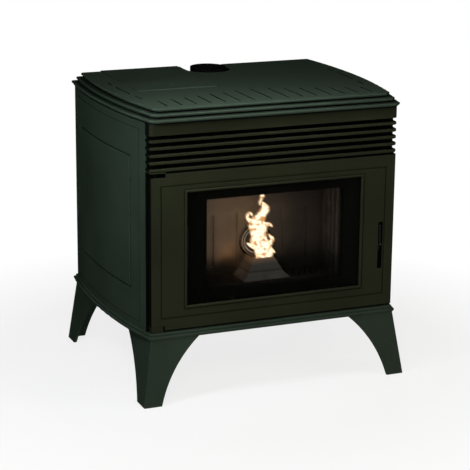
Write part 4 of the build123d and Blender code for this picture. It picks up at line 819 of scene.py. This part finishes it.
def buildFloor():
    deselectAll()
    height = studio["floorHeight"]
    bpy.ops.mesh.primitive_plane_add(size=studio["floorSize"], location=(0.0, 0.0, height))
    floor = bpy.context.object
    floor.name = "studioFloor"
    mat, tree, shader = newMaterial("floorWhite")
    shader.inputs["Base Color"].default_value = studio["floorColour"]
    shader.inputs["Roughness"].default_value = studio["floorRough"]
    shader.inputs["Specular IOR Level"].default_value = 0.0
    links = tree.links
    glow = node(tree, "ShaderNodeEmission", Color=(1.0, 1.0, 1.0, 1.0))
    mix = node(tree, "ShaderNodeMixShader")
    # the shadow shows near the stove and fades out into plain white
    place = node(tree, "ShaderNodeTexCoord")
    reach = node(tree, "ShaderNodeVectorMath", operation="LENGTH")
    links.new(place.outputs["Object"], reach.inputs[0])
    near, far = studio["shadowReach"]
    plain = stretch(tree, reach.outputs["Value"], 1.0 - studio["floorShadow"], 1.0, near, far)
    links.new(maths(tree, "MULTIPLY", whiteRays(tree), plain), mix.inputs["Fac"])
    links.new(shader.outputs[0], mix.inputs[1])
    links.new(glow.outputs[0], mix.inputs[2])
    links.new(mix.outputs[0], tree.nodes["Material Output"].inputs["Surface"])
    floor.data.materials.append(mat)


def buildWorld():
    world = bpy.data.worlds.new("studioWorld")
    bpy.context.scene.world = world
    world.use_nodes = True
    tree = world.node_tree
    tree.nodes.clear()
    paper = (1.0, 1.0, 1.0, 1.0)
    fill = node(tree, "ShaderNodeBackground", Color=paper, Strength=studio["worldFill"])
    white = node(tree, "ShaderNodeBackground", Color=paper, Strength=1.0)
    mix = node(tree, "ShaderNodeMixShader")
    out = node(tree, "ShaderNodeOutputWorld")
    tree.links.new(whiteRays(tree), mix.inputs["Fac"])
    tree.links.new(fill.outputs[0], mix.inputs[1])
    tree.links.new(white.outputs[0], mix.inputs[2])
    tree.links.new(mix.outputs[0], out.inputs["Surface"])


def newLamp(name, kind, power, tint):
    lamp = bpy.data.lights.new(name, kind)
    lamp.energy = power
    lamp.color = tint
    holder = bpy.data.objects.new(name, lamp)
    bpy.context.scene.collection.objects.link(holder)
    return lamp, holder


def buildLamps():
    for name, (place, width, height, power, tint) in studio["lamps"].items():
        lamp, holder = newLamp(name, "AREA", power, tint)
        lamp.shape = "ELLIPSE"
        lamp.size = width
        lamp.size_y = height
        toward = Vector(studio["aim"]) - Vector(place)
        holder.location = place
        holder.rotation_euler = toward.to_track_quat("-Z", "Y").to_euler()
        holder.visible_camera = False
    for name, ((x, depth, z), radius, power, tint) in studio["glows"].items():
        lamp, holder = newLamp(name, "POINT", power, tint)
        lamp.shadow_soft_size = radius
        holder.location = (x, frontY + depth, z)
        holder.visible_glossy = False
        holder.visible_transmission = False


# the view of the photograph: place from the front plane, angles in degrees, lens in millimetres
shot = {
    "place": (-1.73809, -3.88254, 1.60367),
    "down": 15.551,
    "turn": -22.688,
    "roll": 0.561,
    "lens": 129.463,
    "sensor": 36.0,
}


def buildCamera():
    camera = bpy.data.cameras.new("photoView")
    camera.lens = shot["lens"]
    camera.sensor_width = shot["sensor"]
    camera.sensor_fit = "HORIZONTAL"
    holder = bpy.data.objects.new("photoView", camera)
    bpy.context.scene.collection.objects.link(holder)
    tilt = Euler((math.radians(90.0 - shot["down"]), 0.0, math.radians(shot["turn"])))
    turned = tilt.to_matrix() @ Matrix.Rotation(math.radians(shot["roll"]), 3, "Z")
    x, depth, z = shot["place"]
    holder.location = (x, frontY + depth, z)
    holder.rotation_euler = turned.to_euler()
    bpy.context.scene.camera = holder


buildFloor()
buildWorld()
buildLamps()
buildCamera()
bpy.context.scene.view_settings.view_transform = "Standard"
print("studio ready")
